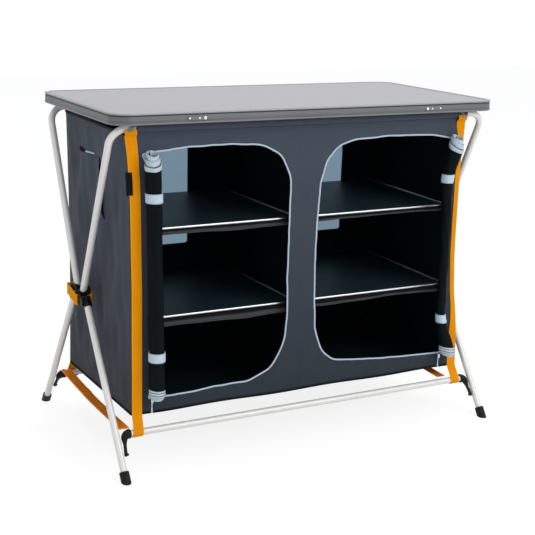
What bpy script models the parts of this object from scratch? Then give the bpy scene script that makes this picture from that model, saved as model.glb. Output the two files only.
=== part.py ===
"""A folding camp kitchen cupboard: two crossed tube frames carry a two-half tabletop and a fabric cabinet.

Metres, +Z up. +X runs along the front, +Y to the back, and the origin is on the ground below the middle.
"""

import math

import bmesh
import bpy
from mathutils import Matrix, Vector
from mathutils.geometry import convex_hull_2d, tessellate_polygon

# Clearances
GAP = 0.0003  # between pieces that touch or slide on each other
OVERRUN = 0.004  # how far a cut runs past the face it opens

# Tabletop
TOP_LENGTH = 1.000
TOP_DEPTH = 0.500
TOP_HEIGHT = 0.810
TOP_THICK = 0.025
TOP_CORNER = 0.045
RIM_WIDTH = 0.014
RIM_BEVEL = 0.0032
BOARD_SINK = 0.0007
BOARD_THICK = 0.011
BOARD_BORDER = 0.046
RIM_OUT_SHARES = [-0.55, 0, 0, -0.3, -0.3, -0.9, -0.9, -0.1, 0, -0.35, -1.1]
RIM_UP_SHARES = [0, 0.07, 0.17, 0.2, 0.74, 0.76, 0.83, 0.85, 0.93, 0.985, 1]

# Tubes
TUBE_OD = 0.016
TUBE_WALL = 0.0012
RAIL_BEND = 0.040
FABRIC = 0.0012  # one layer of cloth, as its hems and seams stiffen it

# Crossed legs
LEG_PLANE = 0.490  # from the middle to the plane of the end legs
PIVOT_DROP = 0.4107  # the pivot below the middle of the top rails
UPPER_LEAN = math.radians(25.2)
LOWER_LEAN = math.radians(34.9)
UPPER_OFFSET = 0.0130  # the leg lines pass the pivot at these distances
LOWER_OFFSET = 0.0268
UPPER_START = 0.026  # and the tubes start this far along them
LOWER_START = 0.042
LOWER_RAIL_HEIGHT = 0.0886

# Pivot hub
SOCKET_WALL = 0.0022
SOCKET_DEPTH = 0.020
SOCKET_FLOOR = 0.004
HUB_PLATE = 0.0040
HUB_EYE = 0.015
PIN_RADIUS = 0.0040
PIN_HEAD = 0.0015
PIN_HEAD_RADIUS = 0.0068

# Feet
FOOT_WALL = 0.0030
FOOT_LENGTH = 0.025
FOOT_SOLE = 0.0030

# Elbow that joins a lower rail to its legs
ELBOW_INNER = 0.451  # where its socket starts, from the middle
ELBOW_TAIL = 0.050
ELBOW_TAIL_RADIUS = 0.0062
ELBOW_BEND = 0.012

# Webbing
WEBBING = 0.025
WEBBING_THICK = 0.0015
TAB_WIDTH = 0.008
STRAP_DROP = 0.0182  # the head of a corner strap below the top rail
BASE_LAP = 0.005  # how far a base strap overlaps its corner strap
WRAP_ANGLE = math.radians(150)
LOOP_REACH = 0.049  # how far the hub loop runs along the side
LOOP_DROP = 0.0425  # the middle of the hub loop below the pivot
LOOP_BEHIND = 0.0605  # and behind it
LOOP_ROUND_SHARE = 0.9

# Fabric cabinet
CABINET_HALF = 0.4485
CABINET_BOTTOM = 0.124
CABINET_CORNER = 0.014
FLOOR_RISE = 0.0010
FLOOR_BOARD = 0.0030

# Door openings, measured from the middle, and their tops down from the top rail
DOOR_OUTER = 0.407
DOOR_INNER = 0.041
DOOR_SHOULDER_DROP = 0.0592
DOOR_CROWN_DROP = 0.0442
DOOR_CROWN_AT = 0.225
DOOR_SILL = 0.158
DOOR_TOP_RADIUS = 0.082
DOOR_SILL_RADIUS = 0.072
DOOR_OUTER_RADIUS = 0.006
ZIP_WIDTH = 0.006
ZIP_THICK = 0.0015
SLIDER = 0.0075
PULL_WIDTH = 0.0065
PULL_LENGTH = 0.024
PULL_THICK = 0.0012

# Rolled doors, their tops measured down from the top rail
ROLL_RADIUS = 0.0178
ROLL_PINCH = 0.0022
ROLL_DROP = 0.0592
ROLL_BOTTOM = 0.151
ROLL_OUT = 0.397
ROLL_LEAN = 0.012
TIE_HEIGHT = 0.022
TIE_THICK = 0.0012
UPPER_TIE_DROP = 0.1572
LOWER_TIE = 0.250

# Back windows, measured down from the top rail
WINDOW_INNER = 0.129
WINDOW_OUTER = 0.335
WINDOW_LOW_DROP = 0.3662
WINDOW_HIGH_DROP = 0.0752
WINDOW_RADIUS = 0.018
NET = 0.0008

# Shelves
LOWER_SHELF = 0.343  # its top from the ground
UPPER_SHELF_DROP = 0.2272  # its top below the top rail
SHELF_BOARD = 0.0030
SHELF_INSET = 0.018  # rod sides stand this far in from the walls
SHELF_FRONT = 0.186
ROD_RADIUS = 0.0028
ROD_BEND = 0.022
HEM_DROP = 0.020

# Side pocket, on the left side only, its heights measured down from the top rail
POCKET_TOP_DROP = 0.0882
POCKET_BACK = 0.120
POCKET_FRONT = -0.016
POCKET_SLANT = -0.064
POCKET_KNEE_DROP = 0.2322
POCKET_FLOOR_DROP = 0.3352

# Tabletop hinges and catches
HINGE_LENGTH = 0.300
HINGE_KNUCKLES = 5
HINGE_LEAF = 0.030
LEAF_THICK = 0.0018
HINGE_DROP = 0.0040
HINGE_PIN = 0.0019
KNUCKLE = 0.0034
CATCH_PIVOT = 0.2915
CATCH_TIP = 0.3285
CATCH_STUD = 0.3050
CATCH_BIG = 0.0046
CATCH_SMALL = 0.0030
CATCH_THICK = 0.0012
CATCH_DOME = 0.0010
CATCH_DOME_SHARES = [(0, 0.7), (0.75, 0.7), (1, 0.4)]  # of a stud's rise and of its end's radius
CATCH_POST = 0.0026

# Facets
ROUND = 12
BEND_STEPS = 6
ROLL_SIDES = 16
ROLL_RINGS = 16
WIRE_SIDES = 8
WRAP_STEPS = 8

R_TUBE = TUBE_OD / 2
R_BORE = R_TUBE + GAP
R_SOCKET = R_BORE + SOCKET_WALL
TOP_UNDER = TOP_HEIGHT - TOP_THICK
R_SLEEVE = R_BORE + FABRIC
RAIL_HEIGHT = TOP_UNDER - GAP - R_SLEEVE

# Heights from the ground of what hangs from the top rails
PIVOT_HEIGHT = RAIL_HEIGHT - PIVOT_DROP
STRAP_TOP = RAIL_HEIGHT - STRAP_DROP
DOOR_SHOULDER = RAIL_HEIGHT - DOOR_SHOULDER_DROP
DOOR_CROWN = RAIL_HEIGHT - DOOR_CROWN_DROP
ROLL_TOP = RAIL_HEIGHT - ROLL_DROP
UPPER_TIE = RAIL_HEIGHT - UPPER_TIE_DROP
WINDOW_LOW = RAIL_HEIGHT - WINDOW_LOW_DROP
WINDOW_HIGH = RAIL_HEIGHT - WINDOW_HIGH_DROP
SHELF_TOPS = (LOWER_SHELF, RAIL_HEIGHT - UPPER_SHELF_DROP)
POCKET_TOP = RAIL_HEIGHT - POCKET_TOP_DROP
POCKET_KNEE = RAIL_HEIGHT - POCKET_KNEE_DROP
POCKET_FLOOR = RAIL_HEIGHT - POCKET_FLOOR_DROP

FINISHES = {
    "tube": ((0.78, 0.78, 0.76), 0.32, 0.25),
    "black_plastic": ((0.015, 0.015, 0.017), 0.45, 0.0),
    "top_board": ((0.52, 0.53, 0.54), 0.45, 0.0),
    "rim": ((0.13, 0.135, 0.14), 0.4, 0.3),
    "charcoal": ((0.045, 0.053, 0.068), 0.85, 0.0),
    "black_cloth": ((0.012, 0.012, 0.014), 0.9, 0.0),
    "orange": ((0.90, 0.38, 0.02), 0.75, 0.0),
    "pale_trim": ((0.50, 0.60, 0.68), 0.7, 0.0),
    "shelf": ((0.03, 0.034, 0.04), 0.5, 0.0),
    "metal": ((0.62, 0.63, 0.65), 0.28, 1.0),
}


def finish_of(name):
    """The Principled material of one finish, made for one object."""
    colour, roughness, metallic = FINISHES[name]
    material = bpy.data.materials.new(name)
    material.use_nodes = True
    shader = material.node_tree.nodes["Principled BSDF"]
    shader.inputs["Base Color"].default_value = (*colour, 1)
    shader.inputs["Roughness"].default_value = roughness
    shader.inputs["Metallic"].default_value = metallic
    return material


def solid(name, surface, finish, origin=(0, 0, 0)):
    """One object from a closed shell of (points, faces), with its origin where it turns."""
    shape = bmesh.new()
    made = [shape.verts.new(Vector(p) - Vector(origin)) for p in surface[0]]
    for face in surface[1]:
        shape.faces.new([made[i] for i in face])
    bmesh.ops.recalc_face_normals(shape, faces=shape.faces)
    mesh = bpy.data.meshes.new(name)
    shape.to_mesh(mesh)
    shape.free()
    mesh.shade_smooth()
    mesh.set_sharp_from_angle(angle=math.radians(35))
    thing = bpy.data.objects.new(name, mesh)
    thing.location = origin
    mesh.materials.append(finish_of(finish))
    bpy.context.scene.collection.objects.link(thing)
    return thing


def combined(name, pieces, cuts, finish):
    """One object: the pieces joined into one body, with the cuts taken out of it."""
    base = solid(name, pieces[0], finish)
    steps = [("UNION", p) for p in pieces[1:]] + [("DIFFERENCE", c) for c in cuts]
    for kind, surface in steps:
        tool = solid("tool", surface, finish)
        modifier = base.modifiers.new(kind, "BOOLEAN")
        modifier.operation = kind
        modifier.object = tool
        bpy.context.view_layer.update()
        seen = base.evaluated_get(bpy.context.evaluated_depsgraph_get())
        shaped = bpy.data.meshes.new_from_object(seen)
        base.modifiers.clear()
        base.data = shaped
        bpy.data.objects.remove(tool)
    base.data.shade_smooth()
    base.data.set_sharp_from_angle(angle=math.radians(35))
    return base


def filleted(corners, radii, closed=False, steps=BEND_STEPS):
    """A line through the corners, each rounded by an arc of its radius."""
    points = [Vector(c) if len(c) == 3 else Vector((*c, 0)) for c in corners]
    line = []
    for i, corner in enumerate(points):
        end = not closed and i in (0, len(points) - 1)
        if end or not radii[i]:
            line.append(corner)
            continue
        back = (points[i - 1] - corner).normalized()
        ahead = (points[(i + 1) % len(points)] - corner).normalized()
        half = back.angle(ahead) / 2
        centre = corner + (back + ahead).normalized() * (radii[i] / math.sin(half))
        start = corner + back * (radii[i] / math.tan(half)) - centre
        stop = corner + ahead * (radii[i] / math.tan(half)) - centre
        axis, sweep = start.cross(stop).normalized(), start.angle(stop)
        line += [
            centre + Matrix.Rotation(sweep * k / steps, 3, axis) @ start
            for k in range(steps + 1)
        ]
    return line


def rings_along(path, radii, sides=ROUND):
    """A ring of points square to the path at each of its points, carried along without twist."""
    path = [Vector(p) for p in path]
    runs = [(b - a).normalized() for a, b in zip(path, path[1:])]
    ways = [runs[0]] + [(a + b).normalized() for a, b in zip(runs, runs[1:])] + [runs[-1]]
    side = ways[0].orthogonal().normalized()
    rings = []
    for point, way, radius in zip(path, ways, radii):
        side = (side - way * side.dot(way)).normalized()
        up = way.cross(side)
        turns = [math.tau * k / sides for k in range(sides)]
        rings.append([point + (side * math.cos(a) + up * math.sin(a)) * radius for a in turns])
    return rings


def shell(rings, closed):
    """A shell over rings of equal count: closed joins the last ring to the first, or else both are capped."""
    count, sides = len(rings), len(rings[0])
    points = [p for ring in rings for p in ring]
    faces = []
    for i in range(count if closed else count - 1):
        a, b = i * sides, (i + 1) % count * sides
        for k in range(sides):
            n = (k + 1) % sides
            faces.append((a + k, a + n, b + n, b + k))
    if not closed:
        faces += [tuple(range(sides))[::-1], tuple(range((count - 1) * sides, count * sides))]
    return points, faces


def rod(path, radii, sides=ROUND):
    """A solid round bar along a path; one radius serves all, or each point has its own."""
    radii = [radii] * len(path) if isinstance(radii, float) else radii
    return shell(rings_along(path, radii, sides), False)


def pipe(path, outer, inner, sides=ROUND):
    """A hollow round tube along a path, open at both ends."""
    outside = rings_along(path, [outer] * len(path), sides)
    inside = rings_along(path, [inner] * len(path), sides)
    return shell(outside + inside[::-1], True)


def along(axis, u, v, w):
    """The point at (u, v) across an axis and w along it."""
    return {"x": (w, u, v), "y": (u, w, v), "z": (u, v, w)}[axis]


def prism(loops, low, high, axis):
    """A flat plate: the first loop is its outline, the others are holes, and it is thick along the axis."""
    loops = [[(p[0], p[1]) for p in loop] for loop in loops]
    triangles = tessellate_polygon([[Vector((u, v, 0)) for u, v in loop] for loop in loops])
    flat = [p for loop in loops for p in loop]
    points = [along(axis, u, v, w) for w in (low, high) for u, v in flat]
    n = len(flat)
    faces = [tuple(t) for t in triangles] + [tuple(i + n for i in t) for t in triangles]
    start = 0
    for loop in loops:
        for k in range(len(loop)):
            a, b = start + k, start + (k + 1) % len(loop)
            faces.append((a, b, b + n, a + n))
        start += len(loop)
    return points, faces


def block(low, high):
    """A plain block between two corners."""
    corners = [(low[0], low[1]), (high[0], low[1]), (high[0], high[1]), (low[0], high[1])]
    return prism([corners], low[2], high[2], "z")


def ribbon(line, thick, low, high, axis="x"):
    """A band of webbing: a line in the plane across the axis, thick on both sides of it, wide along the axis."""
    line = [Vector((p[0], p[1])) for p in line]
    runs = [(b - a).normalized() for a, b in zip(line, line[1:])]
    ways = [runs[0]] + [(a + b).normalized() for a, b in zip(runs, runs[1:])] + [runs[-1]]
    sides = [Vector((-w.y, w.x)) * (thick / 2) for w in ways]
    left = [p + s for p, s in zip(line, sides)]
    right = [p - s for p, s in zip(line, sides)]
    rings = [[along(axis, p.x, p.y, low), along(axis, q.x, q.y, low),
              along(axis, q.x, q.y, high), along(axis, p.x, p.y, high)]
             for p, q in zip(left, right)]
    return shell(rings, False)


def turned(start, way, profile, sides=ROUND):
    """A turned piece: (distance, radius) steps along a straight line."""
    path = [Vector(start) + Vector(way).normalized() * d for d, _ in profile]
    side = Vector(way).orthogonal().normalized()
    up = Vector(way).normalized().cross(side)
    turns = [math.tau * k / sides for k in range(sides)]
    rings = [[p + (side * math.cos(a) + up * math.sin(a)) * r for a in turns]
             for p, (_, r) in zip(path, profile)]
    return shell(rings, False)


def upper_point(side, facing, distance):
    """A point on an upper leg's line. side is -1 left or 1 right, facing -1 front or 1 back."""
    y = UPPER_OFFSET * math.cos(UPPER_LEAN) + distance * math.sin(UPPER_LEAN)
    z = distance * math.cos(UPPER_LEAN) - UPPER_OFFSET * math.sin(UPPER_LEAN)
    return Vector((side * LEG_PLANE, facing * y, PIVOT_HEIGHT + z))


def lower_point(side, facing, distance):
    """A point on a lower leg's line, measured down from the pivot."""
    y = LOWER_OFFSET * math.cos(LOWER_LEAN) + distance * math.sin(LOWER_LEAN)
    z = LOWER_OFFSET * math.sin(LOWER_LEAN) - distance * math.cos(LOWER_LEAN)
    return Vector((side * LEG_PLANE, facing * y, PIVOT_HEIGHT + z))


def upper_length():
    """How far along an upper leg's line the top rail's centre lies."""
    rise = RAIL_HEIGHT - PIVOT_HEIGHT + UPPER_OFFSET * math.sin(UPPER_LEAN)
    return rise / math.cos(UPPER_LEAN)


def lower_length(height):
    """How far along a lower leg's line it comes down to a height."""
    drop = PIVOT_HEIGHT - height + LOWER_OFFSET * math.sin(LOWER_LEAN)
    return drop / math.cos(LOWER_LEAN)


RAIL_Y = upper_point(1, 1, upper_length()).y
LOWER_RAIL_Y = lower_point(1, 1, lower_length(LOWER_RAIL_HEIGHT)).y
CLOTH_FRONT = RAIL_Y + FABRIC / 2  # outer face of the front and back cloth, from the middle
CLOTH_INSIDE = RAIL_Y - FABRIC / 2
CABINET_TOP = RAIL_HEIGHT - R_SLEEVE - GAP
STRAP_OUTER = CABINET_HALF
STRAP_INNER = CABINET_HALF - WEBBING
FLOOR_TOP = CABINET_BOTTOM + FLOOR_RISE + FLOOR_BOARD + FABRIC
ZIP_FRONT = CLOTH_FRONT + GAP + ZIP_THICK
ROLL_Y = ZIP_FRONT + GAP + TIE_THICK + GAP + ROLL_RADIUS
WALL_INSIDE = CABINET_HALF - FABRIC


def make_top_rail(name, facing):
    """The bent tube that is a top rail and two upper legs in one."""
    reach = upper_length()
    corners = [upper_point(-1, facing, UPPER_START), upper_point(-1, facing, reach),
               upper_point(1, facing, reach), upper_point(1, facing, UPPER_START)]
    path = filleted(corners, [0, RAIL_BEND, RAIL_BEND, 0])
    return solid(name, pipe(path, R_TUBE, R_TUBE - TUBE_WALL), "tube")


def foot_end():
    """Where a lower tube ends inside its foot, up the leg's line from the ground."""
    return (FOOT_SOLE + R_TUBE * math.sin(LOWER_LEAN)) / math.cos(LOWER_LEAN)


def make_leg(name, side, facing):
    """A straight lower leg, from its hub socket to its foot."""
    path = [lower_point(side, facing, LOWER_START),
            lower_point(side, facing, lower_length(0) - foot_end())]
    return solid(name, pipe(path, R_TUBE, R_TUBE - TUBE_WALL), "tube")


def make_foot(name, side, facing):
    """A cap over the leg's end, cut flat on the ground."""
    ground = lower_point(side, facing, lower_length(0))
    way = (lower_point(side, facing, 0) - ground).normalized()
    bore_end = ground + way * (foot_end() - GAP)
    mouth = ground + way * FOOT_LENGTH
    radius = R_BORE + FOOT_WALL
    outer = rings_along([bore_end, mouth], [radius, radius])
    sole = [p - way * (p.z / way.z) for p in outer[0]]
    inner = rings_along([bore_end, mouth], [R_BORE, R_BORE])
    return solid(name, shell([sole, outer[1], inner[1], inner[0]], False), "black_plastic")


def make_lower_rail(name, facing):
    """The straight tube between a pair of lower legs."""
    end = ELBOW_INNER + SOCKET_DEPTH / 2
    y = facing * LOWER_RAIL_Y
    path = [(-end, y, LOWER_RAIL_HEIGHT), (end, y, LOWER_RAIL_HEIGHT)]
    return solid(name, pipe(path, R_TUBE, R_TUBE - TUBE_WALL), "tube")


def make_elbow(name, side, facing):
    """A bent plastic connector: a socket for the rail, and a tail down the leg's inner side."""
    tail_end = lower_point(side, facing, lower_length(LOWER_RAIL_HEIGHT) + ELBOW_TAIL)
    leg_face = LEG_PLANE - R_TUBE - GAP
    socket = Vector((side * ELBOW_INNER, facing * LOWER_RAIL_Y, LOWER_RAIL_HEIGHT))
    corner = Vector((side * (leg_face - R_SOCKET), socket.y, socket.z))
    tail = Vector((side * (leg_face - ELBOW_TAIL_RADIUS), tail_end.y, tail_end.z))
    path = filleted([socket, corner, tail], [0, ELBOW_BEND, 0])
    shares = [i / (len(path) - 2) for i in range(len(path) - 1)]
    radii = [R_SOCKET + (ELBOW_TAIL_RADIUS - R_SOCKET) * s ** 2 for s in shares]
    radii.append(ELBOW_TAIL_RADIUS * ELBOW_TAIL_RADIUS / R_SOCKET)
    bore_end = side * (ELBOW_INNER + SOCKET_DEPTH / 2 + GAP)
    bore = rod([(side * (ELBOW_INNER - OVERRUN), socket.y, socket.z),
                (bore_end, socket.y, socket.z)], R_BORE)
    return combined(name, [rod(path, radii)], [bore], "black_plastic")


def disc(centre, radius):
    """Points round a circle in the plane of the legs."""
    turns = [math.tau * k / ROUND for k in range(ROUND)]
    return [(centre.y + radius * math.cos(a), centre.z + radius * math.sin(a)) for a in turns]


def make_hub(name, side, outboard, upper_facing):
    """Half of the scissor hub: a plate beside the tubes with a socket for one upper and one lower tube."""
    plate_low = R_SOCKET + GAP
    plate_high = plate_low + HUB_PLATE
    facing = side if outboard else -side
    low, high = LEG_PLANE * side + facing * plate_low, LEG_PLANE * side + facing * plate_high
    pivot = Vector((side * LEG_PLANE, 0, PIVOT_HEIGHT))
    lines = [(upper_point, upper_facing, UPPER_START), (lower_point, -upper_facing, LOWER_START)]
    roots = [line(side, way, start - SOCKET_FLOOR / 2) for line, way, start in lines]
    spread = disc(pivot, HUB_EYE) + disc(roots[0], R_SOCKET) + disc(roots[1], R_SOCKET)
    outline = [spread[i] for i in convex_hull_2d(spread)]
    pieces, cuts = [prism([outline], low, high, "x")], []
    for (line, way, start), root in zip(lines, roots):
        pieces.append(prism([disc(root, R_SOCKET)], LEG_PLANE * side, high, "x"))
        mouth = line(side, way, start + SOCKET_DEPTH)
        pieces.append(rod([root, mouth], R_SOCKET))
        cuts.append(rod([line(side, way, start - GAP), line(side, way, start + SOCKET_DEPTH + OVERRUN)],
                        R_BORE))
    eye = disc(pivot, PIN_RADIUS + GAP)
    cuts.append(prism([eye], low - facing * OVERRUN, high + facing * OVERRUN, "x"))
    return combined(name, pieces, cuts, "black_plastic")


def make_pivot_pins():
    """The two shouldered pins that the crossed legs turn on."""
    plate_low = R_SOCKET + GAP
    shoulder = plate_low - GAP
    face = plate_low + HUB_PLATE + GAP
    half = [(-face - PIN_HEAD, PIN_HEAD_RADIUS), (-face, PIN_HEAD_RADIUS), (-face, PIN_RADIUS),
            (-shoulder, PIN_RADIUS), (-shoulder, PIN_HEAD_RADIUS)]
    profile = half + [(-d, r) for d, r in reversed(half)]
    for hand, side in (("left", -1), ("right", 1)):
        pin = turned((side * LEG_PLANE, 0, PIVOT_HEIGHT), (1, 0, 0), profile)
        solid(f"pivot_pin_{hand}", pin, "metal")


def make_frames():
    """Two frames that cross at the hubs: each has one top rail and the opposite pair of lower legs."""
    for where, facing, hub, outboard in (("front", -1, "outer", True), ("rear", 1, "inner", False)):
        behind = "rear" if where == "front" else "front"
        make_top_rail(f"{behind}_top_rail", -facing)
        make_lower_rail(f"{where}_lower_rail", facing)
        for hand, side in (("left", -1), ("right", 1)):
            make_leg(f"{where}_leg_{hand}", side, facing)
            make_foot(f"foot_{where}_{hand}", side, facing)
            make_elbow(f"elbow_{where}_{hand}", side, facing)
            make_hub(f"hub_{hub}_{hand}", side, outboard, -facing)
    make_pivot_pins()


def half_outline(side, inset):
    """The outline of half the top from the seam, round both outer corners, to the seam."""
    end, depth, radius = TOP_LENGTH / 2 - inset, TOP_DEPTH / 2 - inset, TOP_CORNER - inset
    corners = [(side * GAP / 2, -depth), (side * end, -depth), (side * end, depth), (side * GAP / 2, depth)]
    return filleted(corners, [0, radius, radius, 0])


def make_board(name, side):
    """Half of the top board: a thin panel with a thicker border underneath that rests on the rails."""
    outline = half_outline(side, RIM_WIDTH + GAP)
    low, high = TOP_UNDER, TOP_HEIGHT - BOARD_SINK
    depth = TOP_DEPTH / 2 - RIM_WIDTH - BOARD_BORDER
    inner, outer = side * BOARD_BORDER, side * (TOP_LENGTH / 2 - RIM_WIDTH - BOARD_BORDER)
    recess = block((min(inner, outer), -depth, low - OVERRUN),
                   (max(inner, outer), depth, high - BOARD_THICK))
    return combined(name, [prism([outline], low, high, "z")], [recess], "top_board")


def make_rim(name, side):
    """The edge moulding round half of the top: a rounded lip, a groove and an upright band."""
    outer, inner = half_outline(side, 0), half_outline(side, RIM_WIDTH)
    rings = []
    for far, near in zip(outer, inner):
        out = (far - near) / RIM_WIDTH
        ring = [far + out * (share * RIM_BEVEL) + Vector((0, 0, TOP_UNDER + up * TOP_THICK))
                for share, up in zip(RIM_OUT_SHARES, RIM_UP_SHARES)]
        floor, brim = near + Vector((0, 0, TOP_UNDER)), near + Vector((0, 0, TOP_HEIGHT))
        rings.append([floor, *ring, brim])
    return solid(name, shell(rings, False), "rim")


def make_hinges():
    """The hinge under the seam: two leaves with interleaved knuckles, and the pin that the halves turn on."""
    axis_z = TOP_UNDER - HINGE_DROP
    low, high = TOP_UNDER - GAP - LEAF_THICK, TOP_UNDER - GAP
    start, stop = -HINGE_LENGTH / 2, HINGE_LENGTH / 2
    barrel = HINGE_LENGTH / HINGE_KNUCKLES
    for hand, side, first in (("left", -1, 1), ("right", 1, 0)):
        edges = sorted((side * (KNUCKLE + GAP), side * HINGE_LEAF))
        pieces = [block((edges[0], start, low), (edges[1], stop, high))]
        for k in range(first, HINGE_KNUCKLES, 2):
            a, b = start + barrel * k + GAP, start + barrel * (k + 1) - GAP
            tongue = sorted((0, side * HINGE_LEAF / 2))
            pieces.append(rod([(0, a, axis_z), (0, b, axis_z)], KNUCKLE))
            pieces.append(block((tongue[0], a, low), (tongue[1], b, high)))
        bore = rod([(0, start - OVERRUN, axis_z), (0, stop + OVERRUN, axis_z)], HINGE_PIN + GAP)
        combined(f"hinge_leaf_{hand}", pieces, [bore], "metal")
    solid("hinge_pin", rod([(0, start, axis_z), (0, stop, axis_z)], HINGE_PIN), "metal")


def make_catch(name, side, stands_off):
    """One edge catch: a tapered plate with three studs, on a post that holds it off the rim's front band."""
    z = TOP_UNDER + TOP_THICK * (RIM_UP_SHARES[3] + RIM_UP_SHARES[4]) / 2
    band = -TOP_DEPTH / 2 - RIM_OUT_SHARES[3] * RIM_BEVEL - GAP
    back = band - stands_off
    front = back - CATCH_THICK
    ends = [((side * CATCH_PIVOT, z), CATCH_BIG), ((side * CATCH_TIP, z), CATCH_SMALL)]
    spread = [p for (u, v), r in ends for p in disc(Vector((0, u, v)), r)]
    outline = [spread[i] for i in convex_hull_2d(spread)]
    pieces = [prism([outline], front, back, "y"),
              rod([(side * CATCH_PIVOT, band, z), (side * CATCH_PIVOT, front, z)], CATCH_POST)]
    studs = ((CATCH_PIVOT, CATCH_BIG), (CATCH_STUD, CATCH_SMALL), (CATCH_TIP, CATCH_SMALL))
    for x, radius in studs:
        rise = CATCH_THICK / 2 + CATCH_DOME
        profile = [(share * rise, radius * wide) for share, wide in CATCH_DOME_SHARES]
        pieces.append(turned((side * x, (front + back) / 2, z), (0, -1, 0), profile))
    made = combined(name, pieces, [], "metal")
    pivot = Vector((side * CATCH_PIVOT, (front + back) / 2, z))
    made.data.transform(Matrix.Translation(-pivot))
    made.location = pivot
    return made


def make_top():
    """Both halves of the top, their rims, hinges and catches."""
    for hand, side in (("left", -1), ("right", 1)):
        make_board(f"top_board_{hand}", side)
        make_rim(f"top_rim_{hand}", side)
    make_hinges()
    make_catch("catch_keeper", 1, 0)
    make_catch("catch_hook", -1, CATCH_THICK + CATCH_DOME + GAP)  # swings over the keeper's studs


def door_line(side, grow=0.0):
    """The outline of a door opening, grown outwards by a margin."""
    outer, inner = side * (DOOR_OUTER + grow), side * (DOOR_INNER - grow)
    corners = [(outer, DOOR_SILL - grow), (outer, DOOR_SHOULDER + grow),
               (side * DOOR_CROWN_AT, DOOR_CROWN + grow),
               (inner, DOOR_CROWN + grow), (inner, DOOR_SILL - grow)]
    radii = [DOOR_OUTER_RADIUS + grow, DOOR_OUTER_RADIUS + grow, DOOR_CROWN_AT,
             DOOR_TOP_RADIUS + grow, DOOR_SILL_RADIUS + grow]
    return filleted(corners, radii, closed=True)


def make_front():
    """The front cloth with its two door openings."""
    corners = [(-CABINET_HALF, CABINET_BOTTOM), (CABINET_HALF, CABINET_BOTTOM),
               (CABINET_HALF, CABINET_TOP), (-CABINET_HALF, CABINET_TOP)]
    outline = filleted(corners, [CABINET_CORNER, CABINET_CORNER, 0, 0], closed=True)
    loops = [outline, door_line(-1), door_line(1)]
    solid("front_panel", prism(loops, -CLOTH_FRONT, -CLOTH_INSIDE, "y"), "charcoal")


def make_zips():
    """The zip tapes sewn round the door openings, each with its slider at the lower outer corner."""
    back = -CLOTH_FRONT - GAP
    for hand, side in (("left", -1), ("right", 1)):
        loops = [door_line(side, ZIP_WIDTH / 2), door_line(side, -ZIP_WIDTH / 2)]
        x = side * ROLL_OUT
        slider = block((x - SLIDER / 2, back - ZIP_THICK, DOOR_SILL - ZIP_WIDTH / 2 - SLIDER),
                       (x + SLIDER / 2, back, DOOR_SILL))
        combined(f"zip_tape_{hand}", [prism(loops, back - ZIP_THICK, back, "y"), slider], [], "pale_trim")


def make_pulls():
    """A flat pull that hangs from each slider and swings outwards."""
    top = DOOR_SILL - ZIP_WIDTH / 2 - SLIDER - GAP
    y = -CLOTH_FRONT - GAP - PULL_THICK / 2
    for hand, side in (("left", -1), ("right", 1)):
        x = side * ROLL_OUT
        corners = [(x - PULL_WIDTH / 2, top - PULL_LENGTH), (x + PULL_WIDTH / 2, top - PULL_LENGTH),
                   (x + PULL_WIDTH / 2, top), (x - PULL_WIDTH / 2, top)]
        outline = filleted(corners, [PULL_WIDTH / 3] * 4, closed=True, steps=3)
        plate = prism([outline], y - PULL_THICK / 2, y + PULL_THICK / 2, "y")
        solid(f"zip_pull_{hand}", plate, "pale_trim", origin=(x, y, top - PULL_THICK / 2))


def roll_line(side):
    """The middle line of a rolled door; the right one leans outwards at both ends."""
    lean = ROLL_LEAN if side > 0 else ROLL_LEAN / 4
    shares = [k / ROLL_RINGS for k in range(ROLL_RINGS + 1)]
    line = []
    for share in shares:
        z = ROLL_BOTTOM + (ROLL_TOP - ROLL_BOTTOM) * share
        bow = (2 * share - 1) ** 2
        line.append(Vector((side * (ROLL_OUT + lean * bow), -ROLL_Y, z)))
    return line


def roll_radius(z):
    """The roll's radius at a height: pinched at each tie and full between them."""
    pinch = sum(math.exp(-(((z - tie) / TIE_HEIGHT) ** 2)) for tie in (UPPER_TIE, LOWER_TIE))
    return ROLL_RADIUS - ROLL_PINCH * pinch


def make_rolls():
    """The two doors, rolled up beside their openings, each tied by two bands sewn to the front cloth."""
    for hand, side in (("left", -1), ("right", 1)):
        line = roll_line(side)
        pieces = [rod(line, [roll_radius(p.z) for p in line], ROLL_SIDES)]
        for tie in (UPPER_TIE, LOWER_TIE):
            near = min(line, key=lambda p: abs(p.z - tie))
            low, high = tie - TIE_HEIGHT / 2, tie + TIE_HEIGHT / 2
            pieces.append(rod([(near.x, near.y, low), (near.x, near.y, high)],
                              ROLL_RADIUS + TIE_THICK, ROLL_SIDES))
            edge = abs(near.x) + ROLL_RADIUS
            near_x, far_x = sorted((side * (edge - TIE_THICK), side * (edge + TIE_THICK)))
            pieces.append(block((near_x, near.y, low), (far_x, -CLOTH_FRONT - GAP, high)))
        combined(f"door_roll_{hand}", pieces, [], "black_cloth")


def window_line(side):
    """The outline of a back window."""
    inner, outer = side * WINDOW_INNER, side * WINDOW_OUTER
    corners = [(inner, WINDOW_LOW), (outer, WINDOW_LOW), (outer, WINDOW_HIGH), (inner, WINDOW_HIGH)]
    return filleted(corners, [WINDOW_RADIUS] * 4, closed=True, steps=3)


def make_back():
    """The back cloth, thinner where its two net windows are sewn in."""
    corners = [(-CABINET_HALF, CABINET_BOTTOM), (CABINET_HALF, CABINET_BOTTOM),
               (CABINET_HALF, CABINET_TOP), (-CABINET_HALF, CABINET_TOP)]
    outline = filleted(corners, [CABINET_CORNER, CABINET_CORNER, 0, 0], closed=True)
    recesses = [prism([window_line(side)], CLOTH_INSIDE - OVERRUN, CLOTH_FRONT - NET, "y")
                for side in (-1, 1)]
    combined("back_panel", [prism([outline], CLOTH_INSIDE, CLOTH_FRONT, "y")], recesses, "charcoal")


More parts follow.
